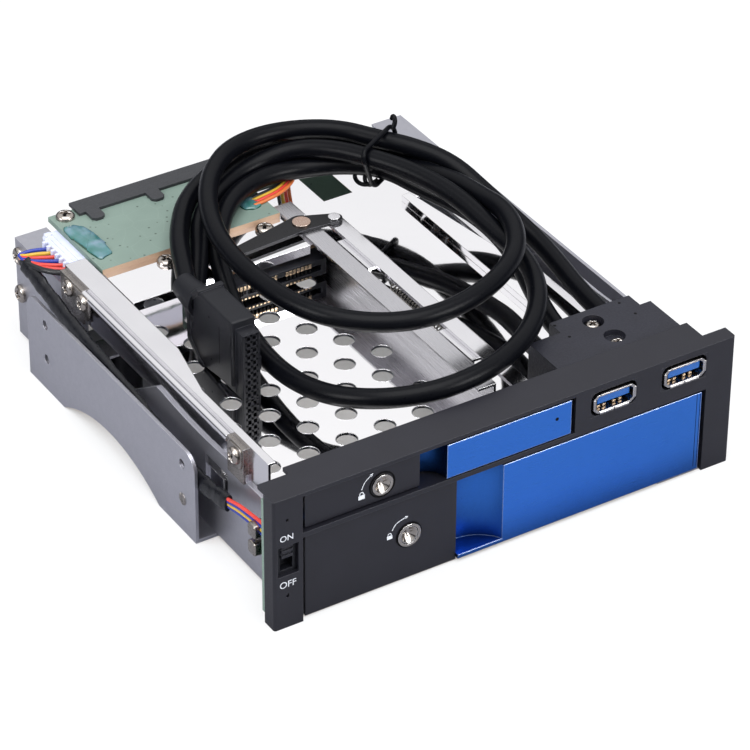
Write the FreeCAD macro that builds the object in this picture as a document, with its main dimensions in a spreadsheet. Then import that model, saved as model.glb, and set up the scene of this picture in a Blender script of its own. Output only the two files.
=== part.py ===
"""Hot swap drive cage: a mobile rack for one 5.25 inch bay that takes a 2.5 inch drive above a 3.5 inch drive.

Millimetres. X to the right seen from the front, Y to the rear, Z up. Every piece is drawn with Y = 0 on
the front face of the bezel, and its Placement moves it so that the middle of the cage is at Y = 0.
"""
import FreeCAD, Part
import Sketcher
import math
import os

V = FreeCAD.Vector

SIZES = [
    # bezel
    ("bezel_width", 149.0, "width of the bezel, for a 5.25 inch bay"),
    ("bezel_height", 42.5, "height of the bezel"),
    ("bezel_thick", 5.0, "depth of the bezel plate"),
    ("left_column", 9.0, "solid column with the switch"),
    ("right_column", 9.2, "solid column at the right end"),
    ("divider", 1.5, "bar between the two openings"),
    ("divider_depth", 8.0, "depth of the bar, which the lock cams catch"),
    ("small_opening", 11.9, "height of the 2.5 inch opening"),
    ("small_opening_wide", 86.6, "width of the 2.5 inch opening"),
    ("lip_thick", 1.3, "flange along the top of the bezel"),
    ("lip_depth", 12.5, "how far the flange runs back"),
    ("lip_end_depth", 9.4, "depth of the flange at its left end"),
    ("bezel_round", 0.8, "rounded upright corners of the bezel"),
    # doors
    ("end_gap", 1.4, "gap at each end of a door"),
    ("edge_gap", 0.5, "gap above and below a door"),
    ("door_depth", 8.0, "front to back size of a door"),
    ("door_skin", 1.8, "front wall of the pulls"),
    ("door_wall", 1.2, "top and bottom wall of the pulls"),
    ("plate_setback", 1.2, "lock plate behind the bezel face"),
    ("strap_thick", 0.9, "tongue that joins lock plate and pull"),
    ("small_plate", 35.7, "width of the upper lock plate"),
    ("large_plate", 47.7, "width of the lower lock plate"),
    ("small_scoop", 8.0, "width of the upper finger scoop"),
    ("large_scoop", 14.4, "width of the lower finger scoop"),
    ("scoop_depth", 6.6, "depth of both finger scoops"),
    ("hinge_depth", 3.9, "hinge axis behind the bezel face"),
    ("small_tail", 9.7, "upper door beyond its hinge axis"),
    ("large_tail", 8.9, "lower door beyond its hinge axis"),
    ("pin_radius", 1.0, "hinge pin"),
    ("hinge_clear", 0.06, "running clearance round a hinge pin"),
    ("hinge_block", 15.0, "moulded block that carries the hinge bore"),
    ("hinge_plate", 1.0, "steel plate under the lower door"),
    ("grip_clear", 0.3, "gap between the hinge plate and the lower pull"),
    # locks
    ("small_lock_in", 23.9, "upper lock from the door's left end"),
    ("large_lock_in", 32.5, "lower lock from the door's left end"),
    ("small_lock_up", 5.0, "upper lock above the door's lower edge"),
    ("large_lock_up", 14.4, "lower lock above the door's lower edge"),
    ("small_barrel", 3.2, "radius of the upper lock barrel"),
    ("large_barrel", 3.6, "radius of the lower lock barrel"),
    ("barrel_wall", 0.8, "wall of a lock barrel"),
    ("lock_proud", 0.5, "barrel in front of its lock plate"),
    ("lock_clear", 0.05, "running clearance of the lock plug"),
    ("key_slot", 1.2, "width of the key slot"),
    ("cam_thick", 0.9, "lock cam behind the door"),
    ("cam_wide", 4.4, "width of the lock cam"),
    ("cam_gap", 0.15, "cam behind the lock plate's back"),
    ("cam_catch", 1.2, "how far a turned cam reaches over the divider"),
    # switch
    ("switch_wide", 6.4, "window of the power switch"),
    ("switch_tall", 9.7, "window of the power switch"),
    ("switch_low", 17.4, "lower edge of the window"),
    ("switch_in", 1.3, "window from the left end of the bezel"),
    ("front_skin", 1.2, "bezel skin in front of the switch body"),
    ("slider_wide", 3.4, "slider of the power switch"),
    ("slider_tall", 4.0, "slider of the power switch"),
    ("slider_travel", 4.0, "travel from ON to OFF"),
    ("slide_gap", 0.25, "gap round the slider"),
    ("pinhole_radius", 0.5, "indicator holes"),
    ("pinhole_in", 4.3, "indicator holes from the left end of the bezel"),
    ("pinhole_low", 10.5, "lower indicator hole"),
    ("board_thick", 1.6, "every circuit board"),
    ("switch_board_wide", 6.2, "switch board"),
    ("switch_board_low", 3.0, "lower end of the switch board"),
    # side plates, to the standard of a 5.25 inch bay
    ("side_span", 146.0, "over the outer side plates"),
    ("side_thick", 1.0, "outer side plate"),
    ("side_front", 44.6, "front edge of the side plate"),
    ("side_length", 97.4, "length of the side plate"),
    ("side_height", 28.3, "height of the side plate"),
    ("front_foot", 20.6, "length of the front foot"),
    ("rear_foot", 21.0, "length of the rear foot"),
    ("arch_rise", 7.7, "arch between the feet"),
    ("foot_flange", 13.0, "flange turned in under each foot"),
    ("side_round", 5.0, "rounded corners of the side plate"),
    ("hole_front", 51.5, "first mounting hole from the bezel face"),
    ("hole_pitch", 79.25, "mounting holes along the side"),
    ("hole_low", 11.0, "lower row of mounting holes"),
    ("hole_rise", 11.84, "between the two rows"),
    ("hole_radius", 1.5, "mounting hole"),
    # inner walls
    ("inner_span", 132.8, "over the inner walls"),
    ("sheet_thick", 0.8, "inner sheet steel"),
    ("inner_front", 17.0, "front edge of the inner walls"),
    ("wall_dip", 1.3, "dip of the arched edge"),
    ("crest_front", 28.0, "front end of the high part of the wall"),
    ("crest_rear", 77.0, "rear end of the high part of the wall"),
    ("wall_step", 19.0, "top of the wall at the end of its slope"),
    ("wall_low", 4.0, "strip of the wall under the rear roller"),
    ("slide_flange", 20.6, "flange along the foot of the inner wall, which carries the drive"),
    ("upright_flange", 10.4, "flange turned in at the top of the upright"),
    ("window_front", 38.0, "window beside the front roller"),
    ("window_long", 12.0, "window beside the front roller"),
    ("window_low", 14.0, "window beside the front roller"),
    ("window_tall", 11.0, "window beside the front roller"),
    # deck and upper bay
    ("deck_front", 15.5, "front edge of the deck"),
    ("deck_hole", 3.0, "radius of the holes in the deck"),
    ("hole_step_x", 12.26, "pitch of the hole columns"),
    ("hole_step_y", 20.7, "pitch of the holes in a column"),
    ("hole_first_x", 57.4, "first column left of the middle"),
    ("hole_first_y", 30.9, "first hole from the bezel face"),
    ("ridge_left", 44.8, "inner edge of the raised band"),
    ("ridge_wide", 9.9, "width of the raised band at the front"),
    ("ridge_narrow", 2.7, "width of the raised band at the rear"),
    ("ridge_rise", 2.2, "height of the raised band"),
    ("trough_front", 40.0, "front end of the open trough"),
    ("bay_right", 5.8, "right wall of the 2.5 inch bay"),
    ("bay_wide", 70.6, "width of the 2.5 inch bay"),
    ("rail_front", 17.5, "front end of the bay rails"),
    ("rail_flange", 5.8, "flange turned in at the top of the rails"),
    ("curl_radius", 1.3, "rolled outer edge of the left rail"),
    ("tab_length", 8.5, "tab behind the lever pivot"),
    # rear of the upper bay
    ("bridge_screw", 3.6, "screws of the bridge plate before the upper board"),
    ("bridge_lip", 3.0, "how far the front edge turns down"),
    ("bridge_left", 58.0, "left edge of the bridge plate from the middle"),
    ("board_left", 58.3, "left edge of the upper board from the middle"),
    ("board_wide", 58.6, "width of the upper board"),
    ("strip_thick", 1.0, "insulator strip on the upper board"),
    ("strip_deep", 6.6, "insulator strip front to back"),
    ("strip_over", 2.2, "insulator strip past the board's rear edge"),
    ("strip_wide", 48.0, "length of the insulator strip"),
    ("strip_tab", 4.2, "width of the strip's tabs"),
    ("strip_tab_out", 4.8, "reach of the strip's tabs"),
    ("bead_rise", 0.9, "resin bead on the upper board"),
    # drive sockets
    ("socket_wide", 42.0, "22-way drive socket"),
    ("socket_deep", 6.3, "22-way drive socket"),
    ("socket_tall", 5.4, "22-way drive socket"),
    ("small_socket_right", 4.2, "right end of the upper drive socket"),
    ("large_socket_low", 4.0, "underside of the lower drive socket"),
    ("cage_depth", 168.0, "bezel face to the rear sockets"),
    # ejector
    ("lever_thick", 0.9, "eject lever"),
    ("lever_gap", 0.1, "gap under the upper eject lever"),
    ("pivot_x", 2.5, "pivot of the upper lever"),
    ("pivot_radius", 1.5, "rivet through a lever"),
    ("pivot_head", 2.7, "head of the rivet"),
    ("lever_boss", 4.0, "round end of a lever at its pivot"),
    ("lever_arm_x", 9.6, "pivot to push bar, across"),
    ("lever_arm_y", 2.5, "pivot to push bar, along"),
    ("finger_x", 29.5, "pivot to finger, across"),
    ("finger_y", 4.6, "pivot to finger, along"),
    ("finger_rise", 8.0, "underside of the finger above the deck"),
    ("finger_wide", 3.0, "finger that pushes the drive"),
    ("push_stroke", 5.0, "travel of a push bar"),
    ("bar_wide", 5.0, "push bar"),
    ("bar_thick", 1.1, "push bar"),
    ("small_bar_front", 12.6, "front end of the upper push bar"),
    ("bar_screw", 1.0, "radius of the screw that joins bar and lever"),
    ("run_clear", 0.08, "running clearance of levers on their pins"),
    ("large_bar_front", 12.2, "front end of the lower push bar"),
    ("large_bar_gap", 0.8, "lower push bar under the deck"),
    ("large_pivot_x", 52.8, "pivot of the lower lever"),
    ("large_arm_x", 6.2, "pivot to push bar, across"),
    ("large_finger_x", 4.6, "pivot to finger, across"),
    ("large_finger_y", 8.5, "pivot to finger, along"),
    ("large_finger_tall", 4.0, "finger below the lower lever"),
    ("crank_wide", 2.4, "width of the lower lever's arms"),
    ("corner_x", 44.0, "upper right corner cut out of the lower backplane board"),
    # springs
    ("wire_radius", 0.35, "spring wire"),
    ("coil_radius", 1.3, "mean radius of the return springs"),
    # rollers
    ("roller_out", 56.9, "roller axis from the middle"),
    ("roller_radius", 5.3, "guide roller"),
    ("roller_front", 46.0, "front rollers"),
    ("roller_low", 4.2, "underside of the rollers"),
    ("roller_pin", 1.6, "radius of the roller pins"),
    ("roller_clear", 0.08, "running clearance of a roller on its pin"),
    ("roller_float", 0.25, "gap above and below a roller"),
    ("ear_wide", 9.0, "ears of the roller brackets"),
    # USB
    ("usb_left", 25.0, "left side of the socket housing"),
    ("usb_wide", 41.2, "width of the socket housing"),
    ("usb_deep", 24.0, "depth of the front block of the housing"),
    ("usb_step", 5.5, "depth of the rear block"),
    ("usb_step_in", 10.6, "left end of the rear block, inwards"),
    ("usb_step_wide", 27.0, "width of the rear block"),
    ("port_wide", 13.2, "steel shell of a USB socket"),
    ("port_tall", 5.8, "steel shell of a USB socket"),
    ("port_wall", 0.4, "wall of the shell"),
    ("port_collar", 0.75, "flared collar of the shell"),
    ("port_long", 17.0, "length of the shell"),
    ("port_proud", 0.6, "collar in front of the bezel"),
    ("port_gap", 0.35, "gap round the collar"),
    ("port_first", 33.75, "middle of the left socket"),
    ("port_pitch", 23.6, "between the sockets"),
    ("tongue_wide", 10.4, "plastic tongue in a socket"),
    ("tongue_thick", 1.7, "plastic tongue in a socket"),
    ("well_radius", 3.1, "screw wells in the housing"),
    ("well_deep", 6.0, "screw wells in the housing"),
    # fasteners
    ("screw_head", 2.8, "radius of a pan head"),
    ("screw_rise", 1.7, "height of a pan head"),
    ("rear_screw_low", 16.0, "lower screw of the backplane angle"),
    # harness and cables
    ("plug_shell", 7.7, "thickness of the header plug"),
    ("plug_tall", 24.0, "height of the header plug"),
    ("plug_deep", 24.0, "depth of the header plug's body"),
    ("plug_nose", 4.2, "pin block in front of the body"),
    ("plug_left", 49.0, "left face of the plug from the middle"),
    ("pin_pitch", 2.0, "pitch of the plug's pin holes"),
    ("pin_hole", 0.9, "side of a pin hole"),
    ("cable_radius", 2.9, "USB cable"),
    ("sleeve_radius", 1.9, "sleeve of the harness"),
    ("wires_radius", 1.2, "bundle of wires outside the sleeve"),
    ("coil_mid_x", 6.0, "middle of the cable coil"),
    ("coil_near", 62.0, "front centre of the coil's curve"),
    ("coil_outer", 45.0, "outside of the coil"),
    ("coil_inner", 31.0, "inside of the coil"),
    ("coil_tall", 12.6, "height of the coil"),
    ("tie_turn", 42.0, "degrees from the right, round the rear curve of the coil"),
    ("tie_thick", 1.0, "strap of the cable tie"),
    ("tie_wide", 2.6, "strap of the cable tie"),
]

# Sizes measured from the top of the bezel or from the rear end, so that they follow it: size, what it is
# measured from, distance, note
TIES = [
    ("large_opening", "bezel_height", -14.6, "height of the 3.5 inch opening"),
    ("pinhole_high", "bezel_height", -7.0, "upper indicator hole"),
    ("switch_board_tall", "bezel_height", -5.5, "switch board"),
    ("wall_crest", "bezel_height", -11.5, "top of the inner wall beside the 2.5 inch bay"),
    ("upright_top", "bezel_height", -8.5, "top of the rear upright"),
    ("deck_top", "bezel_height", -13.8, "floor of the 2.5 inch bay"),
    ("rail_top", "bezel_height", -1.6, "top of the bay rails"),
    ("bridge_top", "bezel_height", -2.6, "top of the bridge plate"),
    ("small_socket_low", "bezel_height", -12.5, "underside of the upper drive socket"),
    ("corner_z", "bezel_height", -21.5, "upper right corner cut out of the lower backplane board"),
    ("roller_tall", "bezel_height", -26.9, "height of the rollers"),
    ("usb_top", "bezel_height", -1.9, "top of the socket housing"),
    ("port_mid", "bezel_height", -6.1, "height of the sockets' middle"),
    ("rear_screw_high", "bezel_height", -13.5, "upper screw of the backplane angle"),
    ("clip_low", "bezel_height", -14.3, "lower end of the rail clips"),
    ("clip_top", "bezel_height", -2.9, "upper end of the rail clips"),
    ("coil_low", "bezel_height", 0.4, "underside of the coil"),
    ("inner_rear", "cage_depth", -7.0, "rear edge of the inner walls"),
    ("low_front", "cage_depth", -73.0, "front end of the gap at the rear roller"),
    ("upright_front", "cage_depth", -50.0, "front edge of the rear upright"),
    ("flange_front", "cage_depth", -36.5, "front end of the flange on the upright"),
    ("deck_rear", "cage_depth", -15.0, "rear edge of the deck"),
    ("notch_front", "cage_depth", -30.0, "rear notch of the deck"),
    ("trough_rear", "cage_depth", -42.0, "rear end of the open trough"),
    ("left_rail_end", "cage_depth", -37.0, "rear end of the left rail"),
    ("right_rail_end", "cage_depth", -57.4, "rear end of the right rail"),
    ("tab_front", "cage_depth", -50.0, "tab behind the lever pivot"),
    ("bridge_front", "cage_depth", -63.4, "turned-down front edge of the bridge plate"),
    ("board_front", "cage_depth", -46.0, "front edge of the upper board"),
    ("board_rear", "cage_depth", -13.0, "rear edge of the upper board"),
    ("small_socket_front", "cage_depth", -65.4, "front of the upper drive socket"),
    ("large_board_front", "cage_depth", -10.0, "front of the lower backplane board"),
    ("pivot_y", "cage_depth", -54.4, "pivot of the upper lever"),
    ("large_pivot_y", "cage_depth", -18.5, "pivot of the lower lever"),
    ("roller_rear", "cage_depth", -54.0, "rear rollers"),
    ("plug_front", "cage_depth", -103.0, "front of the plug's body"),
    ("coil_far", "cage_depth", -62.0, "rear centre of the coil's curve"),
]


class Size:
    """A length that carries its value and the sheet expression that gives it."""

    def __init__(self, value, text):
        self.value = value
        self.text = text

    def __add__(self, other):
        return Size(self.value + number(other), f"({self.text} + {formula(other)})")

    def __radd__(self, other):
        return Size(number(other) + self.value, f"({formula(other)} + {self.text})")

    def __sub__(self, other):
        return Size(self.value - number(other), f"({self.text} - {formula(other)})")

    def __rsub__(self, other):
        return Size(number(other) - self.value, f"({formula(other)} - {self.text})")

    def __mul__(self, factor):
        return Size(self.value * factor, f"({self.text} * {factor})")

    __rmul__ = __mul__

    def __truediv__(self, factor):
        return Size(self.value / factor, f"({self.text} / {factor})")

    def __neg__(self):
        return self * -1


def number(size):
    return size.value if isinstance(size, Size) else float(size)


def formula(size):
    return size.text if isinstance(size, Size) else repr(float(size))


class Sheet:
    """The spreadsheet of driving sizes, read as attributes."""

    def __init__(self, document, sizes, ties):
        self.sheet = document.addObject("Spreadsheet::Sheet", "Sizes")
        self.rows = 0
        for alias, value, note in sizes:
            self.add(alias, value, str(value), note)
        for alias, base, distance, note in ties:
            self.add(alias, getattr(self, base).value + distance, f"={base} {distance:+}", note)
        middle = (self.port_proud.value - self.cage_depth.value) / 2
        self.add("front_place", middle, "=(port_proud - cage_depth) / 2", "moves the middle of the cage to Y = 0")

    def add(self, alias, value, cell, note):
        self.rows += 1
        self.sheet.set(f"A{self.rows}", alias)
        self.sheet.set(f"B{self.rows}", cell)
        self.sheet.setAlias(f"B{self.rows}", alias)
        self.sheet.set(f"C{self.rows}", note)
        setattr(self, alias, Size(value, f"Sizes.{alias}"))


DOC = FreeCAD.newDocument("drive_cage")
S = Sheet(DOC, SIZES, TIES)
DOC.recompute()
PIECES = []

# Which origin plane a sketch lies on for each direction, and the sign of its offset along that direction.
PLANES = {"x": ("YZ_Plane", 1), "y": ("XZ_Plane", -1), "z": ("XY_Plane", 1)}


def piece(name):
    """An empty body for one node, moved so that the middle of the cage is at Y = 0."""
    body = DOC.addObject("PartDesign::Body", name)
    body.Label = name
    body.AllowCompound = True
    body.setExpression("Placement.Base.y", "Sizes.front_place")
    PIECES.append(body)
    return body


def origin_feature(body, role):
    return next(item for item in body.Origin.OriginFeatures if item.Role == role)


def sketch_at(body, axis, at):
    role, sign = PLANES[axis]
    sketch = body.newObject("Sketcher::SketchObject", body.Name + "_outline")
    sketch.AttachmentSupport = [(origin_feature(body, role), "")]
    sketch.MapMode = "FlatFace"
    sketch.setExpression("AttachmentOffset.Base.z", formula(at * sign))
    return sketch


def fix_point(sketch, index, point, place):
    for kind, size in zip(("DistanceX", "DistanceY"), place):
        rule = sketch.addConstraint(Sketcher.Constraint(kind, -1, 1, index, point, number(size)))
        sketch.setExpression(f"Constraints[{rule}]", formula(size))


def add_polygon(sketch, corners):
    first = sketch.GeometryCount
    points = [V(number(across), number(up), 0) for across, up in corners]
    for here, there in zip(points, points[1:] + points[:1]):
        sketch.addGeometry(Part.LineSegment(here, there), False)
    for step in range(len(corners)):
        following = first + (step + 1) % len(corners)
        sketch.addConstraint(Sketcher.Constraint("Coincident", first + step, 2, following, 1))
    for step, place in enumerate(corners):
        fix_point(sketch, first + step, 1, place)


def add_circle(sketch, across, up, radius):
    circle = Part.Circle(V(number(across), number(up), 0), V(0, 0, 1), number(radius))
    index = sketch.addGeometry(circle, False)
    fix_point(sketch, index, 3, (across, up))
    rule = sketch.addConstraint(Sketcher.Constraint("Radius", index, number(radius)))
    sketch.setExpression(f"Constraints[{rule}]", formula(radius))


def extrude(body, kind, sketch, axis, length):
    feature = body.newObject(f"PartDesign::{kind}", f"{body.Name}_{kind.lower()}")
    feature.Profile = sketch
    feature.setExpression("Length", formula(length))
    feature.Reversed = (axis == "y") == (kind == "Pad")
    sketch.Visibility = False
    return feature


def slab(body, axis, low, high, corners, holes=()):
    """Adds the outline, with round holes (across, up, radius), from low to high along the axis."""
    sketch = sketch_at(body, axis, low)
    add_polygon(sketch, corners)
    for across, up, radius in holes:
        add_circle(sketch, across, up, radius)
    return extrude(body, "Pad", sketch, axis, high - low)


def cut(body, axis, low, high, corners):
    """Removes the outline from low to high along the axis."""
    sketch = sketch_at(body, axis, low)
    add_polygon(sketch, corners)
    return extrude(body, "Pocket", sketch, axis, high - low)


def disc(body, axis, low, high, circles):
    """Adds round columns (across, up, radius) from low to high along the axis."""
    for across, up, radius in circles:
        sketch = sketch_at(body, axis, low)
        add_circle(sketch, across, up, radius)
        feature = extrude(body, "Pad", sketch, axis, high - low)
    return feature


def bore(body, axis, low, high, circles):
    """Removes round columns (across, up, radius) from low to high along the axis."""
    sketch = sketch_at(body, axis, low)
    for across, up, radius in circles:
        add_circle(sketch, across, up, radius)
    return extrude(body, "Pocket", sketch, axis, high - low)


def box(x_low, x_high, y_low, y_high):
    """The four corners of a rectangle."""
    return [(x_low, y_low), (x_high, y_low), (x_high, y_high), (x_low, y_high)]


def pan_head(body, axis, across, up, seat, side):
    """The head of a screw on its seat; side is +1 or -1 along the axis."""
    low, high = (seat, seat + S.screw_rise) if side > 0 else (seat - S.screw_rise, seat)
    disc(body, axis, low, high, [(across, up, S.screw_head)])


def edges_along(shape, axis, test):
    """Names of the straight edges that run along the axis and whose ends pass the test."""
    found = []
    for place, edge in enumerate(shape.Edges, start=1):
        ends = [vertex.Point for vertex in edge.Vertexes]
        if len(ends) != 2 or not all(test(end) for end in ends):
            continue
        run = ends[1] - ends[0]
        if abs(getattr(run, axis)) > 0.999 * run.Length:
            found.append(f"Edge{place}")
    return found


def round_edges(body, radius, axis, test):
    """Rounds the straight edges of the body's tip that run along the axis and pass the test."""
    DOC.recompute()
    base = body.Tip
    names = edges_along(base.Shape, axis, test)
    if not names:
        raise ValueError(f"{body.Name}: no edge to round")
    fillet = body.newObject("PartDesign::Fillet", body.Name + "_fillet")
    fillet.Base = (base, names)
    fillet.setExpression("Radius", formula(radius))


SAME_PLACE = 0.01


def near(value, size):
    return abs(value - number(size)) < SAME_PLACE


# Lines that several pieces share
HALF_WIDE = S.bezel_width / 2
OPEN_LEFT = S.left_column - HALF_WIDE
LARGE_RIGHT = HALF_WIDE - S.right_column
SMALL_LOW = S.large_opening + S.divider
SMALL_HIGH = SMALL_LOW + S.small_opening
SMALL_RIGHT = OPEN_LEFT + S.small_opening_wide
DOOR_LEFT = OPEN_LEFT + S.end_gap
DECK_UNDER = S.deck_top - S.sheet_thick
INNER_FACE = S.inner_span / 2
INNER_LINE = INNER_FACE - S.sheet_thick
SIDE_FACE = S.side_span / 2
SIDE_LINE = SIDE_FACE - S.side_thick
FRONT = Size(0.0, "0")
BAY_LEFT = S.bay_right - S.bay_wide


class Door:
    """The lines of one door, upper or lower."""

    def __init__(self, name, right, plate_low, low, high, plate, scoop, tail, lock_in, lock_up, barrel):
        self.name = name
        self.low = low
        self.high = high
        self.plate_low = plate_low
        self.right = right - S.end_gap
        self.plate_right = DOOR_LEFT + plate
        self.scoop_right = self.plate_right + scoop
        self.hinge_x = self.right - tail
        self.lock_x = DOOR_LEFT + lock_in
        self.lock_z = plate_low + lock_up
        self.barrel = barrel


UPPER = Door("upper", SMALL_RIGHT, SMALL_LOW + S.edge_gap, SMALL_LOW + S.edge_gap, SMALL_HIGH - S.edge_gap,
             S.small_plate, S.small_scoop, S.small_tail, S.small_lock_in, S.small_lock_up, S.small_barrel)
LOWER = Door("lower", LARGE_RIGHT, S.edge_gap, S.hinge_plate + S.grip_clear, S.large_opening - S.edge_gap,
             S.large_plate, S.large_scoop, S.large_tail, S.large_lock_in, S.large_lock_up, S.large_barrel)


def make_bezel():
    bezel = piece("front_bezel")
    outline = box(-HALF_WIDE, HALF_WIDE, FRONT, S.bezel_height)
    slab(bezel, "y", FRONT, S.bezel_thick, outline)
    cut(bezel, "y", FRONT, S.bezel_thick, box(OPEN_LEFT, LARGE_RIGHT, FRONT, S.large_opening))
    cut(bezel, "y", FRONT, S.bezel_thick, box(OPEN_LEFT, SMALL_RIGHT, SMALL_LOW, SMALL_HIGH))
    slab(bezel, "y", S.bezel_thick, S.divider_depth,
         box(OPEN_LEFT, SMALL_RIGHT, S.large_opening, SMALL_LOW))
    lip_low = S.bezel_height - S.lip_thick
    slab(bezel, "y", S.bezel_thick, S.lip_depth,
         box(OPEN_LEFT + S.end_gap, LARGE_RIGHT + S.end_gap, lip_low, S.bezel_height))
    slab(bezel, "y", S.bezel_thick, S.lip_end_depth,
         box(-HALF_WIDE + S.bezel_round, OPEN_LEFT + S.end_gap, lip_low, S.bezel_height))
    window_left = S.switch_in - HALF_WIDE
    cut(bezel, "y", FRONT, S.front_skin,
        box(window_left, window_left + S.switch_wide, S.switch_low, S.switch_low + S.switch_tall))
    cut(bezel, "y", S.front_skin, S.bezel_thick,
        box(window_left, window_left + S.switch_wide, S.switch_low - S.front_skin,
            S.switch_low + S.switch_tall + S.front_skin))
    pinhole = S.pinhole_in - HALF_WIDE
    bore(bezel, "y", FRONT, S.bezel_thick,
         [(pinhole, S.pinhole_high, S.pinhole_radius), (pinhole, S.pinhole_low, S.pinhole_radius)])
    for place in range(2):
        middle = S.port_first + S.port_pitch * place
        half_wide = S.port_wide / 2 + S.port_collar + S.port_gap
        half_tall = S.port_tall / 2 + S.port_collar + S.port_gap
        cut(bezel, "y", FRONT, S.bezel_thick,
            box(middle - half_wide, middle + half_wide, S.port_mid - half_tall, S.port_mid + half_tall))
    pin_hole = S.pin_radius + S.hinge_clear / 3
    bore(bezel, "z", S.large_opening, S.bezel_height - S.door_wall / 2,
         [(UPPER.hinge_x, S.hinge_depth, pin_hole)])
    bore(bezel, "z", S.large_opening, SMALL_LOW - S.divider / 3, [(LOWER.hinge_x, S.hinge_depth, pin_hole)])
    round_edges(bezel, S.bezel_round, "z",
                lambda point: near(point.y, 0) and near(abs(point.x), HALF_WIDE))


def make_hinges():
    plate = piece("lower_hinge_plate")
    tongue_left = LOWER.hinge_x - S.hinge_depth
    flange_right = LARGE_RIGHT + S.right_column * 0.8
    slab(plate, "z", FRONT, S.hinge_plate, [
        (tongue_left, S.hinge_plate), (LARGE_RIGHT - S.edge_gap / 2, S.hinge_plate),
        (LARGE_RIGHT - S.edge_gap / 2, S.bezel_thick), (flange_right, S.bezel_thick),
        (flange_right, S.door_depth), (tongue_left, S.door_depth)],
        [(LOWER.hinge_x, S.hinge_depth, S.pin_radius + S.hinge_clear / 3)])
    slab(plate, "y", S.bezel_thick, S.bezel_thick + S.hinge_plate,
         box(LARGE_RIGHT + S.edge_gap, flange_right, S.hinge_plate, S.right_column))
    pins = piece("hinge_pins")
    disc(pins, "z", S.large_opening, S.bezel_height - S.door_wall / 2,
         [(UPPER.hinge_x, S.hinge_depth, S.pin_radius)])
    disc(pins, "z", FRONT, SMALL_LOW - S.divider / 3, [(LOWER.hinge_x, S.hinge_depth, S.pin_radius)])


def make_door(door):
    inner = S.door_wall
    back = S.door_depth
    # blue extruded pull: scoop block, front skin and two returned edges
    pull = piece(f"{door.name}_pull")
    block_right = door.scoop_right + S.door_depth * 0.8
    slab(pull, "z", door.low, door.high, [
        (door.plate_right, FRONT), (door.right, FRONT), (door.right, S.door_skin),
        (block_right, S.door_skin), (block_right, back), (door.plate_right, back)])
    for low, high in ((door.low, door.low + inner), (door.high - inner, door.high)):
        slab(pull, "z", low, high, box(block_right, door.right, S.door_skin, back - S.door_skin))
    width = door.scoop_right - door.plate_right
    # the scoop is part of a cylinder through the right lip, deepest a little left of the middle
    centre = door.plate_right + width * 0.25
    reach = width.value * 0.75
    depth = S.scoop_depth.value
    drop = (reach ** 2 - depth ** 2) / (2 * depth)
    scoop_radius = depth + drop
    floor = inner if door is LOWER else FRONT
    bore(pull, "z", door.low + floor, door.high, [(centre, -drop, scoop_radius)])
    # black moulded lock plate with a wall round its edge and a tongue behind the scoop
    plate = piece(f"{door.name}_lock_plate")
    slab(plate, "y", S.plate_setback, back,
         box(DOOR_LEFT, door.plate_right, door.plate_low, door.high))
    shell = S.door_skin
    cut(plate, "y", S.plate_setback + shell, back,
        box(DOOR_LEFT + shell, door.plate_right - shell, door.plate_low + inner, door.high - inner))
    boss = door.barrel + S.barrel_wall
    disc(plate, "y", S.plate_setback + shell, back, [(door.lock_x, door.lock_z, boss)])
    tongue_low = door.low + inner
    slab(plate, "y", back, back + S.strap_thick,
         box(door.plate_right - shell, block_right, tongue_low, door.high - inner))
    bore(plate, "y", S.plate_setback, back, [(door.lock_x, door.lock_z, door.barrel)])
    # hinge block inside the right end of the pull
    block = piece(f"{door.name}_hinge_block")
    slab(block, "z", door.low + inner, door.high - inner,
         box(door.right - S.hinge_block, door.right, S.door_skin, back))
    bore(block, "z", door.low + inner, door.high - inner,
         [(door.hinge_x, S.hinge_depth, S.pin_radius + S.hinge_clear)])
    for low, high in ((door.low, door.low + inner), (door.high - inner, door.high)):
        bore(pull, "z", low, high, [(door.hinge_x, S.hinge_depth, S.pin_radius + S.hinge_clear)])


def make_lock(door, cam_reach):
    face = S.plate_setback - S.lock_proud
    back = S.door_depth
    barrel = piece(f"{door.name}_lock_barrel")
    disc(barrel, "y", face, back, [(door.lock_x, door.lock_z, door.barrel)])
    plug_radius = door.barrel - S.barrel_wall
    bore(barrel, "y", face, back, [(door.lock_x, door.lock_z, plug_radius)])
    plug = piece(f"{door.name}_lock_plug")
    cam_front = back + S.cam_gap
    disc(plug, "y", face + S.lock_clear * 4, cam_front + S.cam_thick,
         [(door.lock_x, door.lock_z, plug_radius - S.lock_clear)])
    slot = S.key_slot / 2
    cut(plug, "y", face, face + S.door_skin * 2,
        box(door.lock_x - slot, door.lock_x + slot, door.lock_z - plug_radius / 2,
            door.lock_z + plug_radius / 2))
    cam = piece(f"{door.name}_lock_cam")
    slab(cam, "y", cam_front, cam_front + S.cam_thick,
         box(door.lock_x - cam_reach, door.lock_x, door.lock_z - S.cam_wide / 2, door.lock_z + S.cam_wide / 2))
    disc(cam, "y", cam_front, cam_front + S.cam_thick, [(door.lock_x, door.lock_z, plug_radius + S.barrel_wall)])
    bore(cam, "y", cam_front, cam_front + S.cam_thick, [(door.lock_x, door.lock_z, plug_radius - S.lock_clear)])


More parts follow.
